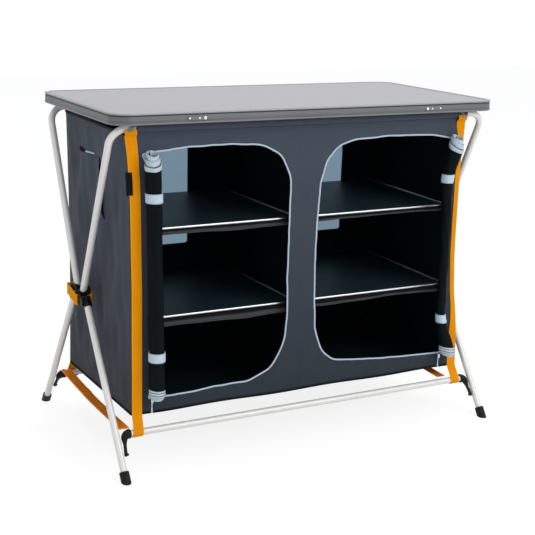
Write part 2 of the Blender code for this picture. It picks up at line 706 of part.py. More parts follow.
def make_walls():
    """The side cloths, the divider and the floor, whose cloth is stiffened by a board."""
    reach = CLOTH_INSIDE - GAP
    for hand, side in (("left", -1), ("right", 1)):
        low, high = sorted((side * WALL_INSIDE, side * CABINET_HALF))
        wall = block((low, -reach, CABINET_BOTTOM), (high, reach, CABINET_TOP))
        solid(f"side_panel_{hand}", wall, "charcoal")
    half = WALL_INSIDE - GAP
    floor = block((-half, -reach, FLOOR_TOP - FABRIC - FLOOR_BOARD), (half, reach, FLOOR_TOP))
    solid("cabinet_floor", floor, "black_cloth")
    divider = block((-FABRIC / 2, -reach, FLOOR_TOP + GAP), (FABRIC / 2, reach, CABINET_TOP))
    solid("centre_divider", divider, "black_cloth")


def make_pocket():
    """A flat pocket on the left side, slanted at the front where the hand goes in."""
    corners = [(POCKET_BACK, POCKET_FLOOR), (POCKET_BACK, POCKET_TOP), (POCKET_FRONT, POCKET_TOP),
               (POCKET_SLANT, POCKET_KNEE), (POCKET_SLANT, POCKET_FLOOR)]
    outer = -CABINET_HALF - GAP
    solid("side_pocket", prism([corners], outer - FABRIC, outer, "x"), "charcoal")


def make_shelves():
    """Four shelves: a stiff board in a cloth sling with a front hem, and the bent wire that holds its edge."""
    reach = CLOTH_INSIDE - GAP
    edge = ROD_RADIUS + GAP
    for level, top in zip(("lower", "upper"), SHELF_TOPS):
        for hand, side in (("left", -1), ("right", 1)):
            inner, outer = side * SHELF_INSET, side * (CABINET_HALF - SHELF_INSET)
            z = top - ROD_RADIUS
            corners = [(inner, reach, z), (inner, -SHELF_FRONT, z), (outer, -SHELF_FRONT, z), (outer, reach, z)]
            wire = filleted(corners, [0, ROD_BEND, ROD_BEND, 0])
            solid(f"shelf_wire_{level}_{hand}", rod(wire, ROD_RADIUS, WIRE_SIDES), "metal")
            low, high = sorted((inner + side * edge, outer - side * edge))
            sling_top = top - 2 * ROD_RADIUS - GAP
            outline = filleted([(low, -SHELF_FRONT + edge), (high, -SHELF_FRONT + edge), (high, reach),
                                (low, reach)], [ROD_BEND - edge, ROD_BEND - edge, 0, 0], closed=True)
            board = prism([outline], sling_top - FABRIC / 2, sling_top + SHELF_BOARD, "z")
            combined(f"shelf_{level}_{hand}", [sling(side, sling_top), board], [], "shelf")


def sling(side, top):
    """The cloth under one shelf, with a hem that hangs below its front edge."""
    low, high = sorted((side * (FABRIC / 2 + GAP), side * (WALL_INSIDE - GAP)))
    middle = top - FABRIC / 2
    line = [(-SHELF_FRONT, middle - HEM_DROP), (-SHELF_FRONT, middle), (CLOTH_INSIDE - GAP, middle)]
    points = filleted(line, [0, FABRIC, 0], steps=2)
    return ribbon(points, FABRIC, low, high)


def strap_line():
    """One corner strap, as (y, z): down the cloth, over the lower rail's front and round underneath it."""
    face = CLOTH_FRONT + GAP + WEBBING_THICK / 2
    radius = R_TUBE + GAP + WEBBING_THICK / 2
    line = [(face, STRAP_TOP), (face, CABINET_BOTTOM)]
    across, up = face - LOWER_RAIL_Y, CABINET_BOTTOM - LOWER_RAIL_HEIGHT
    meets = math.atan2(up, across) - math.acos(radius / math.hypot(across, up))
    for k in range(WRAP_STEPS + 1):
        a = meets - (meets + WRAP_ANGLE) * k / WRAP_STEPS
        line.append((LOWER_RAIL_Y + radius * math.cos(a), LOWER_RAIL_HEIGHT + radius * math.sin(a)))
    return line


def make_straps():
    """The corner straps with their top tabs; each rear one also carries the base strap to the front elbow."""
    sleeve = RAIL_Y + R_SLEEVE + GAP + WEBBING_THICK / 2
    face = CLOTH_FRONT + GAP + WEBBING_THICK / 2
    middle = (STRAP_INNER + STRAP_OUTER) / 2
    over = LOWER_RAIL_HEIGHT + R_SOCKET + GAP + WEBBING_THICK / 2
    for where, facing in (("front", -1), ("rear", 1)):
        for hand, side in (("left", -1), ("right", 1)):
            line = [(facing * y, z) for y, z in strap_line()]
            low, high = sorted((side * STRAP_INNER, side * STRAP_OUTER))
            tab = [(facing * face, STRAP_TOP - WEBBING), (facing * face, STRAP_TOP),
                   (facing * sleeve, RAIL_HEIGHT - R_TUBE / 2), (facing * sleeve, RAIL_HEIGHT + R_TUBE / 2)]
            centre = side * middle
            pieces = [ribbon(line, WEBBING_THICK, low, high),
                      ribbon(tab, WEBBING_THICK, centre - TAB_WIDTH / 2, centre + TAB_WIDTH / 2)]
            if facing > 0:
                (y1, z1), (y2, z2) = line[1:3]
                base = [(-LOWER_RAIL_Y + R_TUBE / 2, over), (y1 + (y2 - y1) * (z1 - over) / (z1 - z2), over)]
                low, high = sorted((side * (STRAP_OUTER - BASE_LAP), side * (STRAP_OUTER - BASE_LAP + WEBBING)))
                pieces.append(ribbon(base, WEBBING_THICK, low, high))
            combined(f"{where}_strap_{hand}", pieces, [], "orange")


def make_sleeves():
    """The cloth sleeves that the top rails run through, which carry the cabinet."""
    for where, facing in (("front", -1), ("rear", 1)):
        end = (STRAP_OUTER + STRAP_INNER) / 2
        path = [(-end, facing * RAIL_Y, RAIL_HEIGHT), (end, facing * RAIL_Y, RAIL_HEIGHT)]
        solid(f"rail_sleeve_{where}", pipe(path, R_SLEEVE, R_BORE), "charcoal")


def make_hub_loops():
    """A webbing loop round the rear lower socket of each hub."""
    z = PIVOT_HEIGHT - LOOP_DROP
    inner, outer = R_SOCKET + GAP + HUB_PLATE + GAP + WEBBING_THICK, R_SOCKET + GAP + WEBBING_THICK / 2
    for hand, side in (("left", -1), ("right", 1)):
        near, far = side * (LEG_PLANE - inner), side * (LEG_PLANE + outer)
        front, rear = LOOP_BEHIND - LOOP_REACH / 2, LOOP_BEHIND + LOOP_REACH / 2
        corners = [(near, front), (far, front), (far, rear), (near, rear)]
        solid(f"hub_loop_{hand}", loop_band(corners, z), "orange")


def loop_band(corners, z):
    """A closed band of webbing round four corners, rounded to a flat oval."""
    u, v = sorted({c[0] for c in corners}), sorted({c[1] for c in corners})
    loops = []
    for grow in (WEBBING_THICK / 2, -WEBBING_THICK / 2):
        left, right, low, high = u[0] - grow, u[1] + grow, v[0] - grow, v[1] + grow
        radius = ((u[1] - u[0]) / 2 + grow) * LOOP_ROUND_SHARE
        box = [(left, low), (right, low), (right, high), (left, high)]
        loops.append(filleted(box, [radius] * 4, closed=True, steps=4))
    return prism(loops, z - WEBBING / 2, z + WEBBING / 2, "z")


def main():
    """Builds every piece of the cupboard."""
    for thing in list(bpy.context.scene.objects):
        bpy.data.objects.remove(thing)
    make_frames()
    make_top()
    make_front()
    make_zips()
    make_pulls()
    make_rolls()
    make_back()
    make_walls()
    make_pocket()
    make_shelves()
    make_straps()
    make_sleeves()
    make_hub_loops()


main()
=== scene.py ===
"""The looks of a folding camp kitchen cupboard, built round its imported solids.

Metres, +Z up. +X runs along the front, +Y to the back, and the origin is on the ground below the middle.
"""

import logging
import math
from dataclasses import dataclass, field
from enum import Enum, IntEnum

import bmesh
import bpy
import numpy as np
from mathutils import Matrix, Vector


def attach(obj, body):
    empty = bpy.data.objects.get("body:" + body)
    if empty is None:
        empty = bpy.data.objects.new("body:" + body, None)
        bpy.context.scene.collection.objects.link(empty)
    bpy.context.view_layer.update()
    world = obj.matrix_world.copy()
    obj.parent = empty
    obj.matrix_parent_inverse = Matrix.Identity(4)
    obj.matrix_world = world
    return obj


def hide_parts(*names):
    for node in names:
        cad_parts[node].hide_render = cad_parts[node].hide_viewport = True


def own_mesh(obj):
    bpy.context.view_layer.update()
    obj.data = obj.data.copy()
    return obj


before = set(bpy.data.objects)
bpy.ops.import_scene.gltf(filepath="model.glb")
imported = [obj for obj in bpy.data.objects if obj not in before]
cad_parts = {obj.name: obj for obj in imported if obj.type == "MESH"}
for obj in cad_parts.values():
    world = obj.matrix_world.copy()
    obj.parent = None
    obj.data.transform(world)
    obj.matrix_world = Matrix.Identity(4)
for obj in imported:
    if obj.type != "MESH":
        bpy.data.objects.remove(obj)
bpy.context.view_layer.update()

Array = np.ndarray
Socket = bpy.types.NodeSocket
Thing = bpy.types.Object
TAU = math.tau
HALF = 0.4485  # half of the cabinet's width
BOTTOM = 0.124  # the height of its lower edge
FACE = 0.20763  # the middle of its front and back cloth, from the middle of the depth
CLOTH = 0.0010  # one layer of its cloth
LINING = 0.0006
log = logging.getLogger("cupboard")


class Body(str, Enum):
    """The moving bodies that pieces ride on."""

    CABINET = "cabinet"
    FRAME_A = "frame_a"
    FRAME_B = "frame_b"
    TOP_LEFT = "top_left"
    TOP_RIGHT = "top_right"
    PULL_LEFT = "pull_left"
    PULL_RIGHT = "pull_right"


class Sign(IntEnum):
    """A direction along an axis, whose name is its word in the names of pieces."""

    @property
    def word(self) -> str:
        """Its word."""
        return self.name.lower()


class Side(Sign):
    """The direction along X, as seen from the front."""

    LEFT = -1
    RIGHT = 1


class Facing(Sign):
    """The direction along Y."""

    FRONT = -1
    REAR = 1


class Level(str, Enum):
    """The lower or the upper of two like parts."""

    LOWER = "lower"
    UPPER = "upper"


class Coords(str, Enum):
    """The coordinates that a pattern reads: along the piece, or in space. Both are in metres."""

    UV = "UV"
    OBJECT = "Object"


# ---- finishes


class Shading:
    """The node tree of one material, put together a step at a time."""

    def __init__(self, name: str, roughness: float, **sockets: object) -> None:
        """Starts from a plain shader.

        Args:
            name: the material's name.
            roughness: its middle roughness.
            sockets: its other shader sockets, with _ for the spaces in their names.
        """
        self.material = bpy.data.materials.new(name)
        self.material.use_nodes = True
        self.tree = self.material.node_tree
        self.shader = self.tree.nodes["Principled BSDF"]
        self.roughness = roughness
        self.fill(self.shader, Roughness=roughness, **sockets)

    def feed(self, socket: Socket, value: object) -> None:
        """Links a socket to the input, or sets its value.

        Args:
            socket: the input.
            value: a socket, a number, a vector or a colour of three numbers.
        """
        if isinstance(value, Socket):
            self.tree.links.new(value, socket)
        elif socket.type == "RGBA":
            socket.default_value = (*value, 1)
        else:
            socket.default_value = value

    def fill(self, node: bpy.types.Node, **inputs: object) -> None:
        """Feeds inputs of a node by name, with _ for the spaces in their names."""
        for key, value in inputs.items():
            self.feed(node.inputs[key.replace("_", " ")], value)

    def look(self, **sockets: object) -> None:
        """Feeds inputs of the shader."""
        self.fill(self.shader, **sockets)

    def node(self, kind: str, **inputs: object) -> bpy.types.Node:
        """Adds a node and feeds its inputs.

        Args:
            kind: the node's type.
            inputs: sockets or values by input name, with _ for spaces.

        Returns:
            The new node.
        """
        made = self.tree.nodes.new(kind)
        self.fill(made, **inputs)
        return made

    def math(self, operation: str, *terms: object) -> Socket:
        """One step of arithmetic.

        Args:
            operation: its name.
            terms: two or three sockets or numbers, or one.

        Returns:
            The result.
        """
        made = self.tree.nodes.new("ShaderNodeMath")
        made.operation = operation
        for socket, value in zip(made.inputs, terms):
            self.feed(socket, value)
        return made.outputs[0]

    def place(self, source: Coords = Coords.UV) -> Socket:
        """The coordinates of each point."""
        return self.node("ShaderNodeTexCoord").outputs[source.value]

    def parts(self, vector: Socket) -> list:
        """The three numbers of a vector."""
        return list(self.node("ShaderNodeSeparateXYZ", Vector=vector).outputs)

    def noise(self, vector: Socket, scale: float, detail: float) -> Socket:
        """Smooth noise between 0 and 1."""
        return self.node("ShaderNodeTexNoise", Vector=vector, Scale=scale, Detail=detail).outputs["Fac"]

    def drawn_noise(self, vector: Socket, scales: tuple, detail: float) -> Socket:
        """Noise with a scale of its own along each axis, so that it is drawn out where the scale is small."""
        return self.noise(self.node("ShaderNodeMapping", Vector=vector, Scale=scales).outputs[0], 1.0, detail)

    def mix(self, share: object, first: object, second: object) -> Socket:
        """The colour between two at a share.

        Args:
            share: 0 for the first and 1 for the second.
            first: a colour.
            second: a colour.

        Returns:
            The mixed colour.
        """
        made = self.tree.nodes.new("ShaderNodeMix")
        made.data_type = "RGBA"
        for index, value in ((0, share), (6, first), (7, second)):
            self.feed(made.inputs[index], value)
        return made.outputs[2]

    def scaled(self, colour: Socket, share: object) -> Socket:
        """A colour times a number.

        Args:
            colour: the colour.
            share: the number.

        Returns:
            The product.
        """
        made = self.tree.nodes.new("ShaderNodeVectorMath")
        made.operation = "SCALE"
        self.fill(made, Vector=colour, Scale=share)
        return made.outputs[0]

    def band(self, value: object, low: float, high: float, soft: float) -> Socket:
        """1 where a value lies between low and high, falling to 0 over the width soft on both sides.

        Args:
            value: what is compared.
            low: the band's lower end.
            high: its upper end.
            soft: the width of each slope.

        Returns:
            A number between 0 and 1.
        """
        rise = self.math("DIVIDE", self.math("SUBTRACT", value, low - soft), soft)
        fall = self.math("DIVIDE", self.math("SUBTRACT", high + soft, value), soft)
        inside = self.math("MINIMUM", self.math("MINIMUM", rise, fall), 1.0)
        return self.math("MAXIMUM", inside, 0.0)

    def wave(self, value: object, pitch: float) -> Socket:
        """A sine wave between -1 and 1 whose period is pitch."""
        return self.math("SINE", self.math("MULTIPLY", value, TAU / pitch))

    def weave(self, u: Socket, v: Socket, pitch: float) -> Socket:
        """Two crossed waves: the yarns of a plain weave."""
        return self.math("MULTIPLY", self.wave(u, pitch), self.wave(v, pitch))

    def halved(self, wave: Socket) -> Socket:
        """A wave between -1 and 1, moved to lie between 0 and 1."""
        return self.math("MULTIPLY_ADD", wave, 0.5, 0.5)

    def rough(self, value: Socket, low: float, high: float) -> None:
        """Gives the shader a roughness between two shares of its middle one."""
        span = self.math("MULTIPLY_ADD", value, self.roughness * (high - low), self.roughness * low)
        self.look(Roughness=span)

    def relief(self, height: Socket, depth: float, strength: float) -> None:
        """Raises the surface by a height of 0 to 1 times a depth, over any relief before it.

        Args:
            height: the height.
            depth: the depth in metres.
            strength: how much of it shows.
        """
        made = self.node("ShaderNodeBump", Height=height, Strength=strength, Distance=depth)
        previous = self.shader.inputs["Normal"]
        if previous.is_linked:
            self.feed(made.inputs["Normal"], previous.links[0].from_socket)
        self.feed(previous, made.outputs[0])


@dataclass(frozen=True)
class Finish:
    """A finish: its name, its place in the record, its colour, its roughness and how it mirrors."""

    name: str
    slot: str
    colour: tuple
    roughness: float
    specular: float = field(default=0.5, kw_only=True)
    metallic: float = field(default=0.0, kw_only=True)

    def material(self) -> bpy.types.Material:
        """The finish as a material, made once.

        Returns:
            The material.
        """
        if self.name not in bpy.data.materials:
            s = Shading(self.name, self.roughness, Base_Color=self.colour, Metallic=self.metallic,
                        Specular_IOR_Level=self.specular)
            self.dress(s)
        return bpy.data.materials[self.name]

    def dress(self, s: Shading) -> None:
        """Adds the finish's pattern and relief to a plain shading."""
        raise NotImplementedError

    def shade(self, share: float, lift: float = 0.0) -> tuple:
        """The colour times a share plus a lift, at most 1."""
        return tuple(min(1.0, c * share + lift) for c in self.colour)


@dataclass(frozen=True)
class Coat(Finish):
    """Powder coat on tube: a faint orange peel and a little handling wear."""

    def dress(self, s: Shading) -> None:
        """Fine noise lifts the surface, and broad noise changes its shade and gloss.

        Args:
            s: the shading to add to.
        """
        at = s.place(Coords.OBJECT)
        broad = s.noise(at, 14, 4)
        s.look(Base_Color=s.mix(broad, self.shade(0.88), self.colour))
        s.rough(broad, 0.8, 1.25)
        s.relief(s.noise(at, 1400, 2), 0.00012, 0.35)


@dataclass(frozen=True)
class Steel(Finish):
    """Bright wire and stamped fittings with fine drawn lines."""

    def dress(self, s: Shading) -> None:
        """Noise stretched along the wire gives drawn lines.

        Args:
            s: the shading to add to.
        """
        lines = s.drawn_noise(s.place(Coords.OBJECT), (60, 900, 900), 4)
        s.rough(lines, 0.75, 1.5)
        s.relief(lines, 0.00005, 0.3)


@dataclass(frozen=True)
class Moulded(Finish):
    """Moulded black plastic with a fine spark grain."""

    def dress(self, s: Shading) -> None:
        """Two scales of noise make the grain, and scuffs lighten it a little.

        Args:
            s: the shading to add to.
        """
        at = s.place(Coords.OBJECT)
        scuff = s.noise(at, 55, 5)
        s.look(Base_Color=s.mix(s.math("POWER", scuff, 3.0), self.colour, self.shade(2.2, 0.006)))
        s.rough(scuff, 0.8, 1.3)
        s.relief(s.noise(at, 1900, 3), 0.00015, 0.4)


@dataclass(frozen=True)
class Laminate(Finish):
    """The worktop's pale grey laminate: small flecks, a faint grain and light scratches."""

    def dress(self, s: Shading) -> None:
        """Fine flecks on a broad, slow shade, with a grain along the top.

        Args:
            s: the shading to add to.
        """
        at = s.place(Coords.OBJECT)
        fleck = s.noise(at, 950, 2)
        slow = s.math("MULTIPLY", s.noise(at, 3.0, 3), 0.35)
        grain = s.drawn_noise(at, (7, 420, 1), 5)
        speckled = s.mix(fleck, self.shade(0.90), self.shade(1.08))
        s.look(Base_Color=s.mix(slow, speckled, self.shade(0.93)))
        s.rough(grain, 0.85, 1.2)
        s.relief(s.math("MULTIPLY_ADD", fleck, 0.5, grain), 0.00006, 0.5)


@dataclass(frozen=True)
class Moulding(Finish):
    """The worktop's edge: a dark band between two paler lips, with a drawn line along it. The lips are partly a paler
    edge and partly painted highlight, the groove under the upper one holds painted shade, and two ridges carry painted
    highlight lines.
    """

    under: float
    thick: float
    # the colour of the lips: a paler edge together with a painted highlight
    lip: tuple

    def dress(self, s: Shading) -> None:
        """The height on the edge picks the colour: the two lips and the ridges carry painted highlight, the groove
        painted shade, and the band keeps its own grey.

        Args:
            s: the shading to add to.
        """
        at = s.place(Coords.OBJECT)
        share = s.math("DIVIDE", s.math("SUBTRACT", s.parts(at)[2], self.under), self.thick)
        # the lips: a paler edge with painted highlight, the lower one at less than half strength
        low, high = s.band(share, -0.2, 0.13, 0.03), s.band(share, 0.87, 1.2, 0.03)
        # painted shade: the groove under the upper of the two lips is darkened for the shadow it holds
        groove = s.band(share, 0.75, 0.83, 0.02)
        # painted highlight: two pale lines along the ridges, whose relief is real
        ridges = s.math("MAXIMUM", s.band(share, 0.43, 0.46, 0.02), s.band(share, 0.57, 0.60, 0.02))
        cloudy = s.mix(s.noise(at, 9, 3), self.shade(0.85), self.shade(1.15))
        ridge_highlighted = s.mix(s.math("MULTIPLY", ridges, 0.45), cloudy, self.lip)
        lips_highlighted = s.mix(s.math("MAXIMUM", s.math("MULTIPLY", low, 0.45), high), ridge_highlighted, self.lip)
        s.look(Base_Color=s.mix(groove, lips_highlighted, self.shade(0.35)))
        s.relief(ridges, 0.0005, 0.8)
        lines = s.drawn_noise(at, (5, 5, 1500), 3)
        s.rough(lines, 0.8, 1.3)
        s.relief(lines, 0.00008, 0.4)


@dataclass(frozen=True)
class Woven(Finish):
    """Coated plain weave, with yarns that vary, faint slubs, dust, creases and, where set, painted light that makes it
    paler upwards.
    """

    pitch: float = 0.0011
    depth: float = 0.00022
    dusty: float = 1.35
    sheen: float = 0.12
    painted_top_light: float = 0.0  # painted light: how much paler a metre further up is, for the light that falls more on the upper cloth
    painted_light_from: float = 0.45
    creased: float = 0.35

    def dress(self, s: Shading) -> None:
        """Two crossed waves are the yarns; noise stretched both ways varies them.

        Args:
            s: the shading to add to.
        """
        s.look(Sheen_Weight=self.sheen, Sheen_Roughness=0.5)
        at = s.place()
        u, v, _ = s.parts(at)
        slubs = s.math("ADD", s.drawn_noise(at, (12, 1000, 1), 2), s.drawn_noise(at, (1000, 12, 1), 2))
        cloud = s.noise(at, 7, 5)
        base = s.mix(s.math("MULTIPLY", cloud, 0.8), self.shade(0.82), self.shade(self.dusty, 0.002))
        yarn = s.mix(s.math("MULTIPLY", slubs, 0.2), base, self.shade(1.5))
        # painted light: the colour grows paler with the height over a set start, for the light that falls on the upper
        # cloth
        above = s.math("SUBTRACT", s.parts(s.place(Coords.OBJECT))[2], self.painted_light_from)
        s.look(Base_Color=s.scaled(yarn, s.math("MULTIPLY_ADD", above, self.painted_top_light, 1.0)))
        s.rough(cloud, 0.85, 1.15)
        s.relief(s.noise(at, 26, 4), 0.0022, self.creased)
        s.relief(s.noise(at, 8, 3), 0.0080, self.creased)
        s.relief(s.halved(s.weave(u, v, self.pitch)), self.depth, 0.6)


@dataclass(frozen=True)
class Webbing(Finish):
    """Woven strap: ribs across it, a herringbone along it, and paler selvedges whose paleness is partly a painted edge
    highlight.
    """

    # the selvedges' colour: their own tone together with a painted edge highlight
    edge: tuple
    width: float = 0.025
    selvedge: float = 0.0016

    def dress(self, s: Shading) -> None:
        """U is the distance from the strap's middle and V the distance along it.

        Args:
            s: the shading to add to.
        """
        u, v, _ = s.parts(s.place())
        out = s.math("ABSOLUTE", u)
        chevron = s.math("PINGPONG", out, self.width / 6)
        ribs = s.wave(s.math("ADD", v, chevron), 0.0018)
        # the selvedges take the edge colour, which is partly painted highlight
        edges = s.band(out, self.width / 2 - self.selvedge, 1.0, 0.0004)
        at = s.place(Coords.OBJECT)
        face = s.mix(s.noise(at, 30, 4), self.shade(0.84), self.shade(1.1))
        ribbed = s.mix(s.math("MULTIPLY_ADD", ribs, 0.12, 0.12), face, self.shade(0.84))
        s.look(Base_Color=s.mix(edges, ribbed, self.edge))
        s.relief(s.halved(ribs), 0.0003, 0.7)
        s.relief(s.noise(at, 700, 2), 0.0002, 0.4)


@dataclass(frozen=True)
class Zip(Finish):
    """Zip tape: a fine ribbed tape with a row of coil teeth along its middle."""

    tooth: float = 0.0018
    row: float = 0.0017
    lines: float = 1.0  # how far from the middle its two painted shade lines run, for the shade between the turns of a rolled zip

    def dress(self, s: Shading) -> None:
        """U is the distance from the tape's middle and V the distance along it.

        Args:
            s: the shading to add to.
        """
        u, v, _ = s.parts(s.place())
        out = s.math("ABSOLUTE", u)
        coil = s.band(out, -1.0, self.row, 0.0003)
        teeth, tape = s.halved(s.wave(v, self.tooth)), s.halved(s.wave(u, 0.0006))
        toothed = s.mix(teeth, self.shade(0.8), self.shade(1.12))
        plain = s.mix(coil, s.mix(tape, self.shade(0.62), self.colour), toothed)
        # painted shade: two dark lines for the shade between the turns of the roll
        dark = s.band(out, self.lines, self.lines + 0.0013, 0.0004)
        s.look(Base_Color=s.mix(dark, plain, self.shade(0.16)))
        s.relief(s.math("MULTIPLY", coil, teeth), 0.0006, 0.8)
        s.relief(tape, 0.00015, 0.5)


@dataclass(frozen=True)
class Band(Finish):
    """A plain satin band with a stitched line just inside its edges."""

    width: float = 0.022
    inset: float = 0.0022

    def dress(self, s: Shading) -> None:
        """U is the distance from the band's middle, so the stitches keep to the edge.

        Args:
            s: the shading to add to.
        """
        u, v, _ = s.parts(s.place())
        seam = self.width / 2 - self.inset
        line = s.band(s.math("ABSOLUTE", u), seam - 0.0004, seam + 0.0004, 0.0003)
        stitches = s.math("MULTIPLY", line, s.math("GREATER_THAN", s.wave(v, 0.0034), -0.25))
        shaded = s.mix(s.noise(s.place(Coords.OBJECT), 60, 3), self.shade(0.88), self.colour)
        s.look(Base_Color=s.mix(stitches, shaded, self.shade(0.55)))
        s.relief(s.halved(s.weave(u, v, 0.0009)), 0.00015, 0.5)
        s.relief(s.math("SUBTRACT", 1.0, line), 0.0004, 0.6)


@dataclass(frozen=True)
class Net(Finish):
    """Fine insect net: emission paints the daylight that shines through its threads, and its holes are open."""

    pitch: float = 0.0016
    # the emission colour: painted light for the daylight that comes through the net
    glow: tuple = (0.150, 0.232, 0.295)

    def dress(self, s: Shading) -> None:
        """Two crossed waves are the threads; where both are high there is a hole.

        Args:
            s: the shading to add to.
        """
        at = s.place()
        u, v, _ = s.parts(at)
        holes = s.math("POWER", s.math("ABSOLUTE", s.weave(u, v, self.pitch * 2)), 0.6)
        cloud = s.noise(at, 8, 4)
        painted_backlight_low, painted_backlight_high = (tuple(c * share for c in self.glow) for share in (0.85, 1.15))
        # painted light: the threads glow by emission, as if lit from behind
        s.look(Base_Color=s.mix(cloud, self.colour, self.shade(1.3)), Emission_Strength=1.0,
               Emission_Color=s.mix(cloud, painted_backlight_low, painted_backlight_high), Alpha=s.math("MULTIPLY_ADD", holes, -0.22, 1.0))
        s.relief(s.math("SUBTRACT", 1.0, holes), 0.0003, 0.6)


@dataclass(frozen=True)
class Hem(Finish):
    """Thin cloth that is pale along its hem and dark above it, where the shelf shades it."""

    # the height of the lit strip of the hem; above it the colour is painted shade
    shown: float = 0.013

    def dress(self, s: Shading) -> None:
        """V is the distance from the hem's edge, and a thread runs along the hem.

        Args:
            s: the shading to add to.
        """
        at = s.place()
        v = s.parts(at)[1]
        face, line = s.band(v, -1.0, self.shown, 0.004), s.band(v, 0.0030, 0.0036, 0.0004)
        cloud = s.mix(s.noise(at, 22, 4), self.shade(0.7), self.shade(1.3))
        # painted shade: above its lit strip the hem is nearly black, for the shade under the shelf
        s.look(Base_Color=s.mix(face, self.shade(0.08), s.mix(line, cloud, self.shade(0.5))))
        s.relief(s.noise(at, 45, 4), 0.0015, 0.5)


@dataclass(frozen=True)
class Stamped(Finish):
    """A stamped catch: a plate in the edge's grey, whose raised studs carry a painted highlight."""

    plate: float = 0.0  # how far forward the plate's face lies
    # the colour of the painted highlight on the studs
    bright: tuple = (0.85, 0.85, 0.86)

    def dress(self, s: Shading) -> None:
        """What stands in front of the plate's face takes a pale painted highlight.

        Args:
            s: the shading to add to.
        """
        at = s.place(Coords.OBJECT)
        stud = s.math("LESS_THAN", s.parts(at)[1], self.plate)
        # painted highlight: the studs in front of the plate take a pale colour
        s.look(Base_Color=s.mix(stud, self.colour, self.bright))
        s.rough(s.noise(at, 300, 3), 0.7, 1.3)


@dataclass(frozen=True)
class Board(Finish):
    """Stiff shelf board under coated cloth: nearly black, with a soft, even shine."""

    def dress(self, s: Shading) -> None:
        """A fine weave lies under a coat whose gloss changes slowly.

        Args:
            s: the shading to add to.
        """
        at = s.place()
        u, v, _ = s.parts(at)
        slow = s.noise(at, 5, 3)
        s.look(Base_Color=s.mix(slow, self.shade(0.75), self.shade(1.3)))
        s.rough(slow, 0.85, 1.2)
        s.relief(s.noise(at, 16, 2), 0.0012, 0.25)
        s.relief(s.halved(s.weave(u, v, 0.0013)), 0.0001, 0.4)


TUBE = Coat("tube_coat", "tube", (0.88, 0.87, 0.84), 0.30, metallic=0.10)
PLASTIC = Moulded("black_moulding", "black_plastic", (0.0035, 0.0035, 0.004), 0.38, specular=0.16)
LAMINATE = Laminate("pale_laminate", "top_board", (0.385, 0.380, 0.410), 0.46, specular=0.3)
# RIM's last colour is that of the lips: a paler edge with painted highlight
RIM = Moulding("edge_moulding", "rim", (0.115, 0.118, 0.128), 0.42, 0.785, 0.025, (0.30, 0.30, 0.32), metallic=0.2)
# CHARCOAL is painted paler towards its top, for the light that falls there
CHARCOAL = Woven("charcoal_cloth", "charcoal", (0.044, 0.055, 0.073), 0.85, painted_top_light=1.0, creased=0.6, specular=0.06)
BLACK = Woven("matt_black_lining", "black_cloth", (0.0022, 0.0095, 0.0120), 0.85, sheen=0.0, specular=0.05)
ROLLED = Woven("rolled_lining", "black_cloth", (0.0020, 0.0045, 0.0055), 0.6, 0.0009, sheen=0.0, specular=0.06)
BINDING = Woven("binding_tape", "black_cloth", (0.006, 0.007, 0.008), 0.75, 0.0007, sheen=0.0, specular=0.08)
# the last number of each is the height of the lit strip; the hem above it is painted shade
HEMS = {Level.LOWER: Hem("grey_sling_lower", "shelf", (0.060, 0.060, 0.066), 0.8, 0.0085, specular=0.1),
        Level.UPPER: Hem("grey_sling_upper", "shelf", (0.060, 0.060, 0.066), 0.8, 0.0055, specular=0.1)}
SHELF = Board("shelf_board", "shelf", (0.0125, 0.0260, 0.0340), 0.42, specular=0.38)
# the second colour of each webbing is its selvedges': their own tone with a painted edge highlight
ORANGE = Webbing("woven_orange", "orange_webbing", (1.0, 0.345, 0.006), 0.8, (1.0, 0.40, 0.02), specular=0.0)
# a shaded copy of the orange webbing: its deeper colour is painted shade for the base straps under the cabinet
PAINTED_SHADE_ORANGE = Webbing("painted_shade_webbing", "orange_webbing", (0.98, 0.255, 0.022), 0.8, (0.98, 0.42, 0.13), specular=0.0)
PALE_ZIP = Zip("pale_zip", "pale_trim", (0.66, 0.79, 0.88), 0.6, specular=0.15)
# ROLL_ZIP's two dark lines are painted shade between the rolled turns
ROLL_ZIP = Zip("rolled_zip", "pale_trim", (0.66, 0.80, 0.90), 0.6, row=0.0012, lines=0.0026, specular=0.15)
PALE_BAND = Band("pale_band", "pale_trim", (0.62, 0.76, 0.88), 0.65, specular=0.15)
GREY_TAB = Band("grey_tab", "pale_trim", (0.26, 0.31, 0.33), 0.7, width=0.008, inset=0.0016, specular=0.1)
THREAD = Coat("amber_thread", "orange_webbing", (0.72, 0.30, 0.02), 0.7, specular=0.1)
NET = Net("window_net", "charcoal", (0.06, 0.09, 0.12), 0.8, specular=0.05)
STEEL = Steel("bright_steel", "metal", (0.62, 0.63, 0.65), 0.28, metallic=1.0)
# HOOK and KEEPER paint a pale highlight on their studs
HOOK = Stamped("stamped_hook", "metal", (0.19, 0.19, 0.20), 0.35, plate=-0.25315, metallic=0.8)
KEEPER = Stamped("stamped_keeper", "metal", (0.19, 0.19, 0.20), 0.35, plate=-0.25065, metallic=0.8)


# ---- curves and surfaces


def xyz(*parts: Array | float) -> Array:
    """Coordinates of any shapes that fit each other, side by side as points."""
    return np.stack(np.broadcast_arrays(*parts), -1)


def at_height(plan: Array, z: Array | float) -> Array:
    """Points of a plan, with x and y last, at heights."""
    return xyz(plan[..., 0], plan[..., 1], z)


def unit(vectors: Array) -> Array:
    """Vectors scaled to length 1 along the last axis."""
    vectors = np.asarray(vectors, float)
    return vectors / np.maximum(np.linalg.norm(vectors, axis=-1, keepdims=True), 1e-12)


def smooth(value: Array, low: float, high: float) -> Array:
    """0 at low, 1 at high, and the smooth step 3t²-2t³ between."""
    t = np.clip((np.asarray(value, float) - low) / (high - low), 0, 1)
    return t * t * (3 - 2 * t)


